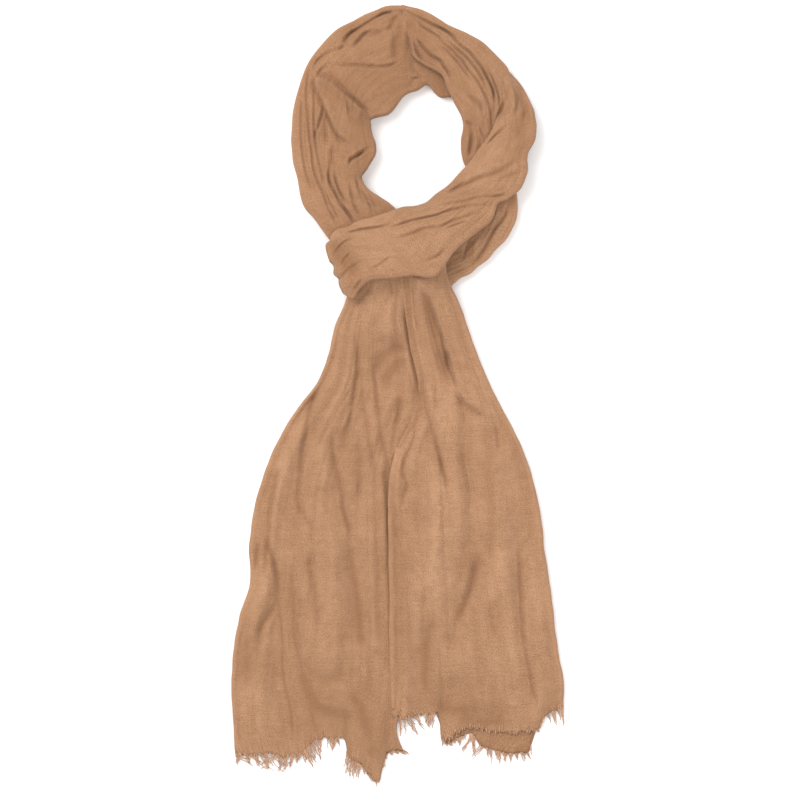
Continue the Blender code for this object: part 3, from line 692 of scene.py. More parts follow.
neckLeft = {
    **bundle, "node": "neck_left", "seed": 23, "flat": (0.165, 0.33), "restsOn": ("floor", "loop_back"),
    "tone": 0.62,
    "shadeSpots": (
        (-50, 273, 15, 0.4), (-63, 277, 9, 0.3), (-38, 248, 16, 0.25), (-22, 287, 20, 0.25),
        (-42, 324, 14, 0.25), (5, 318, 9, 0.35), (7, 300, 10, 0.4), (4, 282, 9, 0.15), (-8, 334, 14, 0.25),
        (-79, 204, 13, -0.2), (-70, 176, 13, -0.2), (-28, 218, 14, 0.15),
    ),
    "notches": (
        (26.8, 275.5, 4.5, 0, 3.8), (39, 270, 7, 0, -2.6), (-12, 256, 9, 1.2, -3.2), (16, 275, 5, 0, -1.5),
    ),
    "sections": (
        (35, 335, 55, 266, 9), (17, 346, 38, 270, 12), (2, 350, 22, 275, 17), (-12, 348.6, 6, 268, 21),
        (-29, 342, -4, 257, 23), (-45, 334, -15, 252, 24), (-61, 323, -24, 247, 25),
        (-76, 306, -24, 242, 25), (-86, 286, -23, 236, 25), (-93, 263, -20, 227, 25),
        (-96, 237, -19, 219, 24), (-95, 212, -25, 205, 24), (-90, 189, -32, 195, 23),
        (-85, 169, -25, 184, 23), (-74, 156, -12, 176, 23), (-63, 140, 0, 165, 25),
        (-52, 125, 23, 143, 29), (-41, 113, 44, 122, 30),
    ),
    "folds": (
        (-3.6, 1.6, 0, -2, 344, -7, 343, -13, 342, -20, 338, -28, 333, -36, 328, -43, 324, -47, 318, -50,
         311, -58, 308, -68, 303, -74, 297, -76, 289),
        (-4, 2.2, 0, -34, 328, -41, 325, -46, 320, -50, 313),
        (-2.5, 1.8, 0, -4, 343, -12, 342, -20, 338),
        (-5, 2.2, 0, -21, 326, -29, 324, -33, 320, -37, 315, -41, 310),
        (-2.5, 3.5, 0, -11, 325, -21, 324, -31, 322),
        (-3.5, 2.4, 0, 2, 341, -3, 337, -6, 330, -11, 325),
        (-4.5, 4.5, 0, -1, 325, -2, 315, -2, 307, -3, 298),
        (-4, 1.5, 0, 4, 339, 3, 328, 2, 320, 2, 310, 1, 301),
        (2.5, 2.2, 0, 6, 340, 7, 330, 5, 320, 6, 307),
        (-3.8, 1.8, 0, -73, 284, -70, 290, -66, 293, -58, 295, -48, 295, -36, 295, -23, 294, -13, 294, -4,
         296, 3, 301),
        (7, 2, -2, -75, 285, -65, 284, -59, 281, -54, 277, -49, 272, -43, 266, -38, 262, -33, 257, -29,
         254, -23, 248),
        (-5.5, 1.6, 0, -65, 284, -54, 277, -47, 270, -40, 264, -32, 256),
        (-3, 1.8, 0, -49, 271, -46, 264, -44, 256, -43, 247),
        (6, 2, 2, -75, 285, -73, 273, -69, 266, -66, 258, -63, 251, -59, 242, -56, 236, -52, 231, -48, 228,
         -40, 222),
        (-3.5, 1.6, 0, -68, 264, -63, 251, -59, 242, -55, 235, -48, 228),
        (-3.6, 1.8, 0, -66, 261, -68, 251, -71, 241, -74, 234, -75, 224),
        (-4, 6, 0, -67, 255, -65, 238, -63, 220),
        (-3, 1.4, 0, -77, 302, -80, 291, -81, 282, -82, 270, -81, 256, -80, 243, -79, 230, -77, 216, -76,
         204, -72, 191, -68, 183, -65, 176, -62, 167, -58, 159, -54, 150),
        (-2.5, 1.6, 0, -86, 267, -87, 248, -86, 225, -83, 202, -76, 181),
        (-3, 1.4, 0, -75, 278, -75, 262, -75, 246, -74, 230, -72, 215, -69, 201, -65, 186),
        (-7, 2, 0, -43, 203, -43, 210, -40, 212, -35, 215, -31, 218, -22, 222),
        (-4.2, 1.7, 0, -60, 210, -62, 199, -61, 190, -58, 184, -54, 176, -50, 169, -45, 162, -40, 154),
        (-4, 1.6, 0, -43, 193, -42, 182, -40, 174, -38, 167, -32, 157),
        (-3.6, 1.5, 0, -34, 191, -32, 182, -28, 176, -25, 169, -21, 159),
        (-3, 1.5, 0, -30, 188, -25, 180, -22, 172, -18, 166),
        (-3, 1.4, 0, -57, 204, -56, 194, -53, 184, -49, 176, -43, 165),
        (-3.5, 1.5, 0, -51, 177, -47, 167, -42, 159, -39, 152),
        (-3, 1.4, 0, -38, 199, -36, 188, -33, 179, -29, 168),
        (-3, 1.4, 0, -68, 190, -65, 181, -61, 173, -56, 163, -50, 153),
        (-2.5, 2.5, 0, -58, 226, -59, 213, -58, 202),
        (-2.5, 1.8, 0, -6, 343.5, 2, 344.5, 8, 344, 13, 341, 19, 336),
        (-7, 3, 0, 12, 339, 12, 330, 13, 323, 14, 314),
        (-6, 1.6, 0, 12, 325, 14, 314, 17, 307, 21, 301, 27, 295),
        (-4.5, 1.5, 0, 0, 340, 6, 343, 11, 341, 16, 336, 24, 328),
        (-3, 1.6, 0, 13, 302, 14, 293, 18, 289, 24, 284),
        (-3.5, 1.3, 0, 11, 274, 13, 280, 15, 284, 19, 284, 25, 279),
    ),
}
neckRight = {
    **bundle, "node": "neck_right", "seed": 37, "flat": (0.125, 0.18), "restsOn": ("floor", "neck_left"),
    "merge": 5, "hides": "start", "hidden": ((5, 343, 26, 1),),
    "shadeSpots": ((16, 322, 14, 0.4), (26, 300, 12, 0.3), (86, 240, 12, -0.2), (92, 268, 12, -0.2)),
    "sections": (
        (3, 350.5, 12, 304, 15), (17, 347.6, 17, 299, 20), (31.5, 340.2, 25, 294, 24),
        (46.5, 332, 32, 290, 25), (62.5, 324.5, 39, 286, 26), (77.5, 315.5, 45, 273, 26),
        (88.5, 304.5, 50, 261, 25), (98.5, 293.5, 57, 248, 24), (103, 278, 58, 238, 21),
        (106, 261, 56, 228, 17), (108, 240, 57, 216, 15), (106, 220, 60, 205, 14), (104, 202, 64, 195, 13),
    ),
    "folds": (
        (-3.3, 1.5, 0, -20, 342, -8, 344, 5, 345, 13, 341, 20, 337, 27, 334, 33, 330, 39, 328, 44, 325, 49,
         321, 52, 317, 58, 311, 64, 307, 68, 302, 72, 297, 76, 292, 79, 286, 82, 280, 85, 273, 86, 266, 88,
         259),
        (-3, 1.8, 0, 25, 335, 39, 328, 49, 321, 57, 312),
        (-2.5, 1.6, 0, 72, 297, 79, 286, 85, 273, 87, 262),
        (-3, 1.4, 0, 5, 344, 12, 340, 16, 336, 23, 329, 31, 324, 37, 320, 43, 313, 49, 308, 53, 303, 58,
         299, 62, 292, 68, 285, 72, 280, 76, 272, 80, 264, 83, 255, 84, 246, 84, 236),
        (-3, 1.3, 0, 41, 321, 50, 312, 58, 305, 65, 298, 71, 290, 76, 282, 80, 271),
        (-2.8, 1.3, 0, 34, 316, 45, 307, 53, 298, 60, 289, 68, 278),
        (-3.2, 1.4, 0, 76, 298, 83, 287, 86, 280, 89, 272, 91, 264, 92, 257),
        (-4, 1.8, 0, 14, 327, 19, 316, 24, 310, 31, 303, 38, 299, 42, 293, 46, 287, 49, 280),
        (-7, 1.8, 0, 12, 336, 12, 325, 14, 318, 16, 310, 20, 302, 25, 297, 32, 293, 36, 290, 41, 282),
        (-5, 3.4, 0, 12, 338, 13, 328, 14, 320),
        (-3.5, 2.4, 0, 60, 270, 68, 265, 74, 259, 77, 249),
        (-5, 1.5, 0, 58, 248, 62, 244, 68, 239),
        (-6, 2, 0, 95, 262, 93, 256, 91, 252, 90, 245),
        (-2.5, 1.4, 0, 73, 241, 76, 234, 80, 228),
        (-3.5, 3, 0, 67, 237, 66, 224, 64, 212),
        (-2.5, 2, 0, 68, 318, 77, 310, 85, 302),
    ),
}
tailLeft = {
    **hemmed, "node": "tail_left", "seed": 41, "flat": (0.31, 0.43), "restsOn": ("floor", "loop_back"),
    "inner": 0.25,
    "notches": ((7, -297, 8, -3, 0), (9, -317, 5, 2, 0), (7, -305, 3, -1.5, 0)),
    "shadeSpots": (
        (-12, 62, 20, -0.2), (-62, -64, 13, -0.25), (-90, -70, 16, -0.15), (-57, -142, 13, -0.25),
        (-138, -240, 18, 0.2), (-80, -298, 16, 0.2), (-20, -312, 18, 0.3), (-50, -300, 14, 0.15),
    ),
    "sections": (
        (-41, 112, 14, 116, 27), (-46, 88, 14, 90, 22), (-58, 58, 18, 58, 15), (-62, 39, 23, 39, 13),
        (-73, 11, 29, 8, 12), (-92, -14, 26, -20, 11), (-108, -41, 12, -48, 11), (-121, -72, 4, -76, 10),
        (-130, -105, 4, -106, 10), (-134, -140, 4, -138, 10), (-133, -168, 4, -168, 9),
        (-143, -200, 4, -200, 9), (-148, -230, 4, -230, 9), (-150, -266, 4, -266, 8),
        (-148, -297, 0, -292, 8), (-147, -323, 5, -310, 8),
    ),
    "hem": (
        (-151, -323.5, -323), (-138, -324, -321), (-111, -324, -320), (-90, -325, -319), (-81, -318, -310),
        (-70, -309, -302), (-54, -309, -304), (-47, -310, -309), (-46, -324, -324), (-38, -328, -328),
        (-34, -331, -331), (-27, -340, -340), (-22, -346, -346), (-18, -349, -349), (-15.5, -347, -347),
        (-14.5, -336, -336), (-12, -333, -333), (-11, -321, -321), (-5, -320, -320), (2, -320, -320),
        (7, -321, -321), (9.5, -306, -306), (13, -300, -300),
    ),
    "folds": (
        (-4.5, 2.4, 0, -12, -60, -9, -95, -8.5, -150, -8.5, -210),
        (-2.5, 2.4, 0, -8.5, -190, -8.5, -250, -8.5, -330),
        (-4, 1.8, 0, -36, 56, -36, 39, -36, 26, -36, 19, -38, 11, -40, -3, -42, -16, -46, -33, -48, -48),
        (-3.5, 1.8, 0, -35, 19, -33, 9, -32, 0, -31, -10, -28, -22, -27, -35, -25, -48, -21, -62, -19,
         -76),
        (-4, 1.8, 0, -22, 29, -20, 14, -19, -2, -18, -15, -16, -32, -14, -43, -11, -54, -8, -66, -7, -81),
        (-3, 2.2, 0, 5, 3, 2, -3, 1, -14, -1, -26, -4, -38, -5, -49, -7, -60),
        (-5, 8, 0, 14, 39, 2, 43, -9, 39, -18, 28, -21, 10),
        (-3.6, 2.2, 0, -70, 16, -74, 4, -78, -8, -81, -22, -82, -34, -85, -45, -86, -57, -87, -68, -89,
         -83, -90, -92, -88, -101, -84, -110, -77, -119, -73, -126),
        (-4.5, 1.8, 0, -60, -30, -59, -40, -58, -54, -55, -68, -52, -80, -50, -90, -49, -102, -46, -114,
         -43, -126, -40, -140),
        (-3, 3, 0, -105, -61, -110, -74, -112, -87, -114, -99, -116, -112, -116, -126, -119, -148, -121,
         -171),
        (-2.5, 1.6, 0, -124, -130, -127, -145, -129, -159),
        (-3, 5, 0, -47, -26, -49, -40, -50, -58),
        (-2.5, 1.4, 0, -35, -76, -34, -97),
        (-4, 1.8, 0, -8, 104, -6, 94, -5, 86),
        (-4.5, 1.5, 0, *sharedCrease),
        (-5.5, 9, 0, 10, 34, 0, 28, -9, 18, -12, -2),
        (-3.5, 2.4, 0, -22, 99, -31, 88, -39, 80),
        (-5, 1.9, 0, -121, -130, -116, -140, -112, -148, -110, -158, -108, -168, -108, -183, -107, -194,
         -105, -207, -104, -225, -104, -243, -102, -261, -99, -273, -96, -288, -95, -306, -94, -321),
        (-4.2, 3.6, 0, -109, -182, -112, -192, -117, -199, -122, -207, -125, -218, -125, -236),
        (-3.5, 3.6, 0, -96, -148, -95, -171, -94, -194, -94, -213, -90, -232, -86, -249, -81, -270, -76,
         -294, -71, -310),
        (-4.5, 7, 0, -46, -122, -41, -158, -37, -182, -34, -212, -32, -230),
        (-5, 9, 0, -90, -236, -82, -262, -72, -280, -52, -287, -32, -290),
        (-4.5, 9, 0, -46, -262, -34, -282, -24, -312),
        (-3, 5, 0, -82, -140, -78, -160, -74, -188, -70, -215),
        (-3, 6, 0, -36, -34, -35, -70, -37, -108),
        (-2.5, 9, 0, -134, -205, -136, -240, -136, -272),
        (4, 14, 0, -14, 86, -12, 66, -10, 46),
        (5, 9, 0, -66, -40, -66, -68, -64, -94),
        (5, 8, 0, -60, -118, -58, -150, -57, -190, -58, -235, -61, -258),
        (2, 4, 0, -22, -184, -22, -238),
        (2.5, 3, 0, -101, -194, -99, -238, -93, -292),
    ),
}
tailRight = {
    **hemmed, "node": "tail_right", "seed": 53, "flat": (0.32, 0.41), "tone": 0.11, "inner": 0.5,
    "restsOn": ("floor", "tail_left", "loop_back"),
    "notches": ((54, 98, 13, -3.4, 0), (50, 114, 11, -4.5, 0)),
    "hidden": (
        (52, 106, 20, 0.6), (3, 108, 30, 1), (7, 80, 30, 1), (11, 52, 30, 1), (14, 24, 30, 1),
        (16, -8, 28, 1), (4, -36, 26, 1), (-8, -80, 34, 0.5), (-9, -120, 34, 0.6), (-8, -160, 34, 0.62),
        (-8, -200, 34, 0.7), (-8, -240, 34, 0.76), (-7, -272, 30, 0.84),
    ),
    "shadeSpots": (
        (108, -90, 16, -0.12), (110, -140, 16, -0.2), (112, -190, 16, -0.2), (118, -235, 16, -0.15),
        (-3, -86, 9, 0.3), (-4, -104, 9, 0.35), (-5, -122, 9, 0.35), (-5, -140, 9, 0.3),
        (-4, -158, 9, 0.3), (-4, -176, 9, 0.3), (-4, -194, 9, 0.3), (-4, -212, 9, 0.25),
        (-4, -230, 9, 0.2), (-3, -250, 9, 0.2), (24, -272, 10, 0.25), (44, -279, 12, 0.3),
        (66, -282, 12, 0.3), (86, -284, 12, 0.25),
    ),
    "sections": (
        (46, 121, 1, 115, 29), (54, 90, 4, 88, 25), (63, 60, 8, 58, 19), (71, 38, 12, 38, 17),
        (84, 7, 18, 8, 15), (98, -20, 13, -18, 14), (112, -48, -2, -48, 14), (121, -75, -8, -76, 13),
        (128, -105, -9, -106, 13), (132, -140, -9, -138, 12), (137, -172, -8, -168, 12),
        (141, -206, -8, -200, 12), (145, -236, -8, -228, 11), (149, -258, -7, -256, 10),
        (149, -281, -6, -289, 9),
    ),
    "hem": (
        (-12, -289, -283), (2, -290, -283), (30, -288, -284), (37, -286, -288), (38.5, -307, -309),
        (42, -312, -314), (47, -309, -311), (52, -305, -310), (57, -303, -308), (61, -299, -303),
        (66, -299, -303), (72, -300, -312), (78, -302, -317), (92, -303, -321), (104, -304, -323),
        (112, -303, -322), (118, -302, -324), (120, -302, -323), (121, -302, -306), (124, -303, -299),
        (128, -300, -297), (132, -290, -281), (141, -282, -276), (159, -278, -272),
    ),
    "folds": (
        (-4.5, 1.5, 0, *sharedCrease, 35, -46, 38, -57, 40, -67, 43, -76, 45, -90),
        (2.5, 4, 0, 12, 84, 15, 62, 19, 36, 25, 8, 33, -18, 41, -45),
        (-5, 7, 0, 23, 99, 26, 81, 30, 66, 35, 48, 42, 24, 48, 0),
        (-3.8, 1.6, 1, 20, 102, 23, 93, 27, 85, 31, 75, 34, 64, 39, 54, 41, 43, 44, 35, 46, 24, 49, 17, 52,
         8, 56, -2),
        (-4, 2.6, 0, 43, 40, 45, 30, 47, 20),
        (-3.5, 2.2, 0, 49, 4, 56, -5, 65, -13, 75, -18, 86, -21),
        (3.5, 3.5, 0, 48, 14, 56, 3, 67, -8, 80, -15),
        (-1.6, 3, 0, 57, -39, 59, -56, 63, -72, 66, -90, 70, -112),
        (-2, 1.6, 0, 89, -26, 90, -40, 91, -54),
        (-4.5, 1.6, 0, 19, -3, 17, -15, 15, -26, 14, -37, 10, -48, 6, -58, 4, -69, 6, -76, 8, -83, 5, -92,
         4, -104),
        (-5, 2.4, 0, -6, -99, -5, -111, -3, -122, 0, -132),
        (-4, 2.4, 0, -5, -112, -4, -140, -3, -200, -3, -276),
        (-5.4, 3.6, 0, 72, -138, 70, -153, 67, -170, 62, -184, 57, -196, 50, -212),
        (-4, 7, 0, 34, -196, 27, -214, 25, -234, 24, -256, 27, -281),
        (-3, 1.6, 0, 110, -126, 110, -151, 111, -182, 112, -202, 114, -222, 117, -238, 120, -254, 122,
         -267, 127, -283),
        (-2.5, 3.5, 0, 80, -183, 84, -202, 87, -220),
        (3.5, 12, 0, 122, -70, 128, -120, 130, -180, 132, -240),
        (-2.5, 9, 0, 76, -20, 82, -60, 84, -110, 82, -155),
        (3, 8, 0, 54, -60, 57, -100, 54, -150),
        (3.5, 12, 0, 52, -222, 50, -262),
        (5.5, 8, 0, 35, -63, 35, -104, 30, -148, 20, -190),
        (-7, 6, 0, 24, -274, 37, -280, 50, -283, 64, -283, 82, -285),
        (-6, 9, 0, 46, -292, 72, -294, 108, -295),
    ),
}
loopFront = {
    **bundle, "node": "loop_front", "seed": 67, "flat": (0.14, 0.25), "tone": 0.34,
    "wrinkles": (("soft", 16, 90, 1.1), ("soft", 7, 80, 0.6), ("pinch", 8, 120, 0.35)),
    "restsOn": ("neck_left", "neck_right", "tail_left", "tail_right"),
    "merge": 12, "hidden": ((99, 284, 36, 1), (94, 264, 24, 1)),
    "notches": (
        (-58, 115, 3.6, 3.2, 1.4), (-52.5, 104, 3.2, 2.8, 1.2), (-64, 139, 3, 2, -0.5),
        (-60, 107, 5, -1, -0.5), (82, 157, 8, 2.2, -1.4), (89, 171, 6, -2.2, 1.2), (97, 177, 6, 0, -2),
    ),
    "turned": 0.22,
    "shadeSpots": (
        (-52, 124, 16, 0.35), (-38, 106, 14, 0.25), (112, 255, 20, 0.25), (106, 222, 18, 0.15),
        (58, 172, 20, 0.15),
    ),
    "sections": (
        (99.5, 290, 93, 281, 22), (110, 280, 95, 269, 23), (119, 263, 90, 253, 27),
        (124, 246, 81, 233, 29), (124, 230, 72, 220, 30), (117, 215, 63, 208, 30), (116, 199, 54, 198, 30),
        (110, 184, 43, 187, 30), (95, 174, 34, 180, 31), (85, 161, 24, 172, 33), (72, 146, 13, 169, 36),
        (56, 133, 2, 168, 40), (43, 117, -9, 164, 43), (31, 104, -24, 159, 44), (13, 106, -36, 155, 44),
        (-7, 103, -47, 150, 42), (-23, 102, -56, 148, 38), (-34, 94, -62, 140, 31),
        (-43, 86, -65, 130, 23), (-49, 90, -62, 120, 14),
    ),
    "folds": (
        (-3.2, 1.5, 0, 104, 177, 97, 175, 92, 172, 87, 170, 77, 170, 65, 169, 52, 166, 43, 164, 36, 161,
         29, 159, 20, 157, 11, 155, 2, 152, -11, 148),
        (-2.8, 1.5, 0, 102, 176, 92, 178, 81, 177, 70, 176, 59, 173, 47, 171, 32, 168),
        (-2.6, 2.4, 0, 76, 165, 61, 159, 48, 155, 38, 150, 24, 148, 11, 143, -4, 139),
        (-3.4, 3.2, 0, 112, 212, 97, 203, 85, 197, 74, 194, 61, 188, 51, 184, 40, 177),
        (-3, 1.6, 0, 100, 242, 92, 236, 85, 230, 77, 221),
        (-2.6, 1.6, 0, -23, 104, -22, 112, -16, 116, -11, 120, -4, 124),
        (-3.6, 2, 0, -40, 93, -36, 98, -32, 104),
        (-2.2, 1.6, 0, -58, 122, -54, 130, -48, 136, -38, 140),
        (-2.2, 1.6, 0, -51, 115, -47, 122, -41, 128),
        (-1.8, 2, 0, -53, 101, -45, 111, -33, 119),
        (-3, 1.6, 0, -4, 152, -20, 149, -34, 147, -50, 143),
        (-2.5, 2, 0, 22, 119, 34, 123, 44, 131),
        (-2.5, 1.5, 0, 66, 157, 52, 152, 39, 147),
        (-3, 3, 0, 105, 276, 107, 262, 104, 248),
        (-2, 2.5, 0, 118, 263, 115, 255, 113, 244),
        (-2.5, 1.6, 0, 116, 202, 104, 197, 93, 195),
        (2.5, 3, 0, 92, 246, 79, 228, 65, 213, 61, 206),
        (2, 8, 0, 65, 184, 38, 176, 11, 163),
        (-3.2, 16, 0, -58, 140, -47, 121, -34, 103),
        (-2.8, 13, 0, 107, 282, 112, 262, 112, 242, 104, 224),
    ),
}

laid = LaidCloth()
stretches = (loopBack, neckLeft, neckRight, tailLeft, tailRight, loopFront)
pieces, hems = {}, {}
for stretch in stretches:
    node = stretch["node"]
    grid, along, shares, columns = stretchGrid(stretch, laid)
    pieces[node] = clothMesh(node + "_cloth", grid, along, shares, pashmina)
    laid.lay(grid)
    if "hem" in stretch:
        hems[node] = (grid[-1], columns)
    print(node + "_cloth", "laid:", grid.shape[0], "rows of", grid.shape[1], "points")


strand = {
    "thickness": 0.72,   # millimetres
    "lift": 1.2,         # millimetres
    "points": 10,
    "sides": 4,
    "waves": 140.0,      # how fast its bends follow each other, for each metre
    "waveScale": 60.0,
    "arc": 2.6,          # radians from root to tip of the half wave that its bends follow
    "droop": 0.7,        # below 1 it reaches the floor sooner
    "taper": 0.6,        # how much thinner its tip is
}


def fringeTree():
    # a strand from each point of a mesh to its tip, bent by noise
    tree = bpy.data.node_groups.new("frayedFringe", "GeometryNodeTree")
    for name, kind, value in (
        ("Geometry", "Geometry", None),
        ("Thickness", "Float", strand["thickness"] * millimetre),
        ("Curl", "Float", None),
        ("Lift", "Float", strand["lift"] * millimetre),
        ("Material", "Material", None),
    ):
        socket = tree.interface.new_socket(name, in_out="INPUT", socket_type="NodeSocket" + kind)
        if value is not None:
            socket.default_value = value
    tree.interface.new_socket("Geometry", in_out="OUTPUT", socket_type="NodeSocketGeometry")
    given = Socket(tree, tree.nodes.new("NodeGroupInput").outputs["Geometry"])

    def add(kind, settings=None, links=None, output=0):
        return addNode(tree, kind, settings, links, output)

    def named(name):
        return add("GeometryNodeInputNamedAttribute", {"data_type": "FLOAT"}, {"Name": name})

    points = add("GeometryNodeMeshToPoints", None, {"Mesh": given})
    line = add("GeometryNodeCurvePrimitiveLine", None, {"End": (0, -0.001, 0)})
    line = add("GeometryNodeResampleCurve", None, {"Curve": line, "Count": strand["points"]})
    placed = add("GeometryNodeInstanceOnPoints", None, {"Points": points, "Instance": line})
    strands = add("GeometryNodeRealizeInstances", None, {0: placed})
    factor = add("GeometryNodeSplineParameter", None, None, "Factor")
    here = add("GeometryNodeInputPosition")
    shifted = add("ShaderNodeVectorMath", {"operation": "ADD"}, {0: here, 1: (0.31, 0.17, 0.0)})
    phase = factor * (named("tipY") * -1.0) * strand["waves"] + named("turn")
    bend = add("ShaderNodeTexNoise", {"noise_dimensions": "4D"},
               {"Vector": shifted, "W": phase, "Scale": strand["waveScale"], "Detail": 1.0}, 1)
    bend = add("FunctionNodeSeparateColor", None, {0: bend})
    free = (factor * strand["arc"]).math("SINE")
    curl, lift = given.also("Curl"), given.also("Lift")
    offset = add("ShaderNodeCombineXYZ", None, {
        0: named("tipX") * factor.math("POWER", named("sweep")) + (bend - 0.5) * curl * free,
        1: named("tipY") * factor + (bend.also(1) - 0.5) * curl * free,
        2: named("tipZ") * factor.math("POWER", strand["droop"]) + bend.also(2) * lift * free,
    })
    strands = add("GeometryNodeSetPosition", None, {"Geometry": strands, "Offset": offset})
    girth = given.also("Thickness") * named("girth") * (1.0 - factor * strand["taper"])
    ring = add("GeometryNodeCurvePrimitiveCircle", None, {"Resolution": strand["sides"], "Radius": 1.0})
    body = add("GeometryNodeCurveToMesh", None,
               {"Curve": strands, "Profile Curve": ring, "Scale": girth, "Fill Caps": True})
    body = add("GeometryNodeSetShadeSmooth", None, {0: body})
    body = add("GeometryNodeRealizeInstances", None, {0: body})
    body = add("GeometryNodeSetMaterial", None, {"Geometry": body, "Material": given.also("Material")})
    body.into(tree.nodes.new("NodeGroupOutput").inputs[0])
    return tree


def grownMesh(name, points, shares, tree, values):
    # runs a tree on a set of points and keeps the result as a plain mesh
    guide = bpy.data.meshes.new(name + "_guide")
    guide.from_pydata(points, [], [])
    setShares(guide, shares)
    source = addObject(name + "_guide", guide)
    modifier = source.modifiers.new("grow", "NODES")
    modifier.node_group = tree
    sockets = {s.name: s.identifier for s in tree.interface.items_tree if s.in_out == "INPUT"}
    for title, value in values.items():
        modifier[sockets[title]] = value
    graph = bpy.context.evaluated_depsgraph_get()
    mesh = bpy.data.meshes.new_from_object(source.evaluated_get(graph), depsgraph=graph)
    mesh.name = name
    source.modifiers.clear()
    bpy.data.objects.remove(source)
    return addObject(name, mesh)


fringes = {
    # tail, layer, how far its locks gather (0 to 1), curl; locks: from x, to x, tip (x, y), strands
    "fringe_left_upper_1": ("tail_left", "upper", 0.8, 6, (
        (-145.8, -141.3, -144.9, -332.1, 5), (-145, -142, -131, -332.6, 2),
        (-139.5, -135, -133, -331.4, 3), (-134, -131, -119, -335.6, 2),
        (-129.6, -126, -125, -334, 3), (-126, -123, -112, -337.2, 2),
        (-121, -117, -117.5, -336.4, 3), (-117, -114, -104, -338.2, 2),
        (-112, -108, -123, -335, 2), (-108.5, -104.5, -106, -338, 4),
        (-103.5, -99, -102.4, -339, 4), (-101, -98, -110, -337.4, 1),
        (-97.5, -93, -97.2, -335.4, 4), (-93.5, -90, -103, -336.8, 1),
        (-91, -86.4, -91, -331, 4),
    )),
    "fringe_left_upper_2": ("tail_left", "upper", 0.85, 5, (
        (-86.4, -82.8, -82.8, -330.3, 3), (-84.6, -80.1, -76.5, -334.8, 5),
        (-81, -76.5, -73.8, -330.3, 4), (-76.5, -72, -69.3, -327.6, 4),
        (-72, -68.4, -69.3, -321.3, 2), (-64.8, -61.2, -63.9, -317.7, 1),
        (-62.1, -55.8, -58.5, -320.4, 5), (-55.8, -52.2, -53.1, -315, 2),
    )),
    "fringe_left_under_3": ("tail_left", "under", 0.7, 6, (
        (-45.9, -41.4, -47.7, -340.2, 4), (-43.2, -38.7, -44.1, -343.8, 4),
        (-40.5, -36, -40.5, -344.7, 4), (-37.8, -33.3, -36.9, -343.8, 4),
        (-33.3, -29.7, -30.6, -342, 3), (-29.7, -26.1, -27, -342, 3),
        (-27, -22.5, -23.4, -347.4, 3), (-21.6, -16.2, -18.9, -351.9, 3),
    )),
    "fringe_left_under_4": ("tail_left", "under", 0.8, 5, (
        (-13.5, -9, -10.8, -321.3, 3), (-9, -3.6, -5.4, -319.5, 4), (-4.5, 0, -0.9, -318.6, 3),
        (0, 4.5, 7.2, -320.4, 4), (3.6, 7.2, 9.9, -312.3, 2),
    )),
    "fringe_right_upper_5": ("tail_right", "upper", 0.8, 6, (
        (0, 3.6, 2.7, -306, 2), (3.6, 7.2, 7.2, -304.2, 2), (6.3, 9.9, 18, -305.1, 2),
        (9, 12.6, 16.2, -302.4, 2), (13.5, 17.1, 24.3, -300.6, 2), (16.2, 19.8, 20.7, -297.9, 2),
        (23.4, 32.4, 27.9, -300.6, 6), (28.8, 33.3, 31.5, -298.8, 3),
    )),
    "fringe_right_upper_6": ("tail_right", "upper", 0.15, 3.2, (
        (38.7, 47.7, 43.2, -298.8, 4), (47.7, 56.7, 52.2, -300.6, 4),
        (56.7, 65.7, 61.2, -301.5, 4), (65.7, 74.7, 71.1, -301.5, 4),
        (74.7, 83.7, 80.1, -302.4, 3), (83.7, 92.7, 89.1, -303.3, 3),
        (92.7, 101.7, 98.1, -303.3, 3), (101.7, 110.7, 107.1, -303.3, 3),
    )),
    "fringe_right_under_7": ("tail_right", "under", 0.85, 5, (
        (37.8, 41.4, 39.6, -315.9, 4), (41.4, 45.9, 43.2, -311.4, 3), (45, 49.5, 48.6, -314.1, 4),
        (48.6, 53.1, 51.3, -309.6, 3), (52.2, 57.6, 55.8, -315, 4), (57.6, 61.2, 59.4, -309.6, 2),
        (64.8, 69.3, 57.6, -321.3, 4),
    )),
    "fringe_right_under_8": ("tail_right", "under", 0.8, 5, (
        (64.8, 69.3, 68.4, -323.1, 3), (73.8, 78.3, 65.7, -327.6, 3), (79.2, 82.8, 81, -324.9, 3),
        (81.9, 85.5, 83.7, -332.1, 2), (86.4, 90, 89.1, -327.6, 3), (89.1, 92.7, 90.9, -331.2, 2),
        (93.6, 98.1, 96.3, -329.4, 4), (99.9, 103.5, 101.7, -330.3, 3),
        (104.4, 108.9, 107.1, -327.6, 3), (109.8, 115.2, 113.4, -329.4, 4),
        (115.2, 119.7, 119.7, -326.7, 3),
    )),
    "fringe_right_upper_9": ("tail_right", "upper", 0.8, 4, (
        (115.2, 119.7, 117, -302.4, 5), (119.7, 125.1, 122.4, -302.4, 5),
        (124.2, 128.7, 126.9, -300.6, 4), (128.7, 132.3, 128.7, -295.2, 3),
        (133.2, 136.8, 136.8, -294.3, 3), (137.7, 141.3, 142.2, -296.1, 3),
        (142.2, 145.8, 145.8, -291.6, 2), (145.8, 149.4, 148.5, -297, 3),
    )),
}

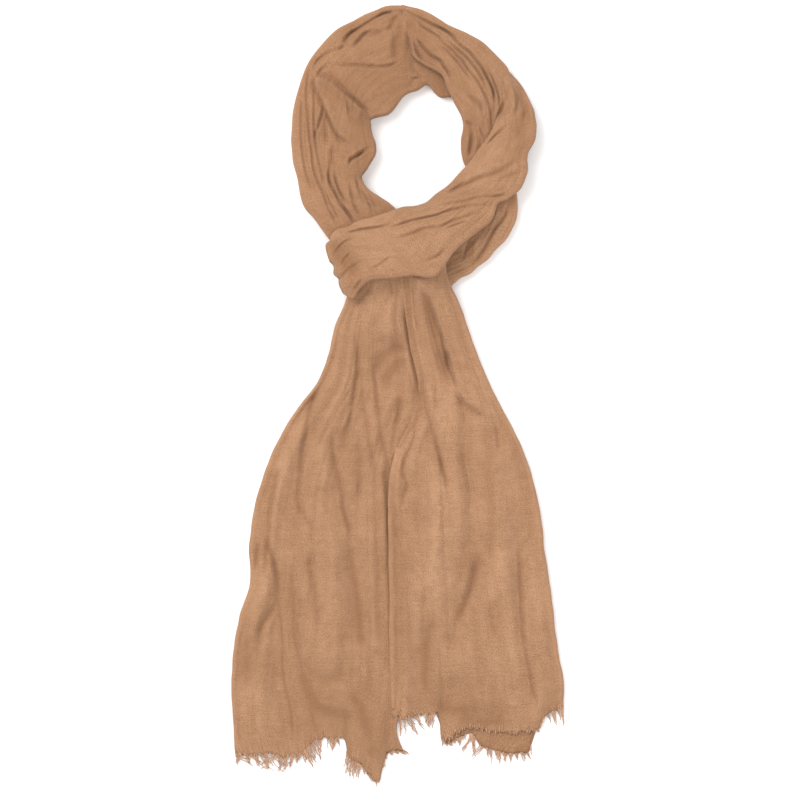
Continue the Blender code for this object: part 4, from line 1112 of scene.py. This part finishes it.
frayed = fringeTree()
fringePieces = {"tail_left": [], "tail_right": []}
for number, (node, (tail, layer, gather, curl, locks)) in enumerate(fringes.items()):
    ring, columns = hems[tail]
    chosen = ring[columns[:, 3] == (topKind if layer == "upper" else underKind)]
    hemX, hemY, hemZ = chosen[np.argsort(chosen[:, 0])].T
    chance = np.random.default_rng(number + 3)  # a fixed seed for each row of locks
    roots, tips = [], []
    for x0, x1, tipX, tipY, count in locks:
        for k in range(count):
            x = x0 + (x1 - x0) * (k + chance.uniform(0.15, 0.85)) / count
            y = np.interp(x, hemX, hemY) + chance.uniform(0.4, 1.6) * (3 - 2.5 * gather)
            z = max(np.interp(x, hemX, hemZ) + 0.1, 0.95)
            toX = x + gather * (tipX - x) + (1 - gather) * (tipX - (x0 + x1) / 2)
            toY = y + (tipY - y) * (1 if k == count // 2 else chance.uniform(0.5, 0.95))
            toX += chance.uniform(-0.8, 0.8)
            rest = max(float(laid.sample(laid.height, np.array(toX), np.array(toY))), 0.55)
            roots.append((x, y, z))
            tips.append((toX - x, min(toY - y, -2.0), rest - z))
    tips = np.array(tips) * millimetre
    shares = {
        "tipX": tips[:, 0], "tipY": tips[:, 1], "tipZ": tips[:, 2],
        "turn": chance.uniform(0, 40, len(tips)), "sweep": chance.uniform(0.8, 1.9, len(tips)),
        "girth": chance.uniform(0.65, 1.2, len(tips)),
    }
    points = (np.array(roots) + origin) * millimetre
    values = {"Curl": curl * millimetre, "Material": yarn}
    strands = grownMesh(node + "_strands", points.tolist(), shares, frayed, values)
    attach(strands, "root")
    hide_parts(node)
    fringePieces[tail].append(strands)
    print(node + "_strands", "grown:", len(strands.data.polygons), "faces")

for stretch in stretches:
    node = stretch["node"]
    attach(pieces[node], "root")
    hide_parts(node)
    restsOn = [r if r == "floor" else r + "_cloth" for r in stretch["restsOn"]]


studio = {
    "floor": (0.93, 0.93, 0.93, 1.0),
    "floorReach": 6.0,
    "floorDrop": 0.0004,  # below the cloth, so that the two never share a plane
    "world": 0.92,
    # place, size, power
    "keyLight": ((-0.9, 1.0, 1.7), 1.3, 37.0),
    "fillLight": ((1.0, -0.6, 2.4), 2.2, 19.0),
    "cameraHeight": 4.0,
    "cameraPlace": (1.8, -4.5),  # millimetres on the plan
    "fieldWidth": 0.720,
    "filmWidth": 36.0,
}

floorMesh = bpy.data.meshes.new("floor")
reach = studio["floorReach"]
floorCorners = [(-reach, -reach, 0), (reach, -reach, 0), (reach, reach, 0), (-reach, reach, 0)]
floorMesh.from_pydata(floorCorners, [], [(0, 1, 2, 3)])
paper = bpy.data.materials.new("paper")
paper.use_nodes = True
paperShader = paper.node_tree.nodes["Principled BSDF"]
paperShader.inputs["Base Color"].default_value = studio["floor"]
paperShader.inputs["Roughness"].default_value = 0.9
floorMesh.materials.append(paper)
floor = addObject("floor", floorMesh)
floor.location.z = -studio["floorDrop"]

world = bpy.data.worlds.new("studio")
bpy.context.scene.world = world
world.use_nodes = True
background = world.node_tree.nodes["Background"]
background.inputs["Color"].default_value = (1.0, 1.0, 1.0, 1.0)
background.inputs["Strength"].default_value = studio["world"]

for name in ("keyLight", "fillLight"):
    place, size, power = studio[name]
    light = bpy.data.lights.new(name, "AREA")
    light.shape = "SQUARE"
    light.size = size
    light.energy = power
    lamp = addObject(name, light)
    lamp.location = place
    lamp.rotation_euler = Vector(place).to_track_quat("Z", "Y").to_euler()

camera = bpy.data.cameras.new("camera")
camera.sensor_width = studio["filmWidth"]
camera.lens = studio["filmWidth"] * studio["cameraHeight"] / studio["fieldWidth"]
camera.clip_end = 50.0
cameraObject = addObject("camera", camera)
cameraX, cameraY = studio["cameraPlace"]
cameraObject.location = ((cameraX + origin[0]) * millimetre, (cameraY + origin[1]) * millimetre,
                         studio["cameraHeight"])
bpy.context.scene.camera = cameraObject
bpy.context.scene.view_settings.view_transform = "Standard"
print("studio set")
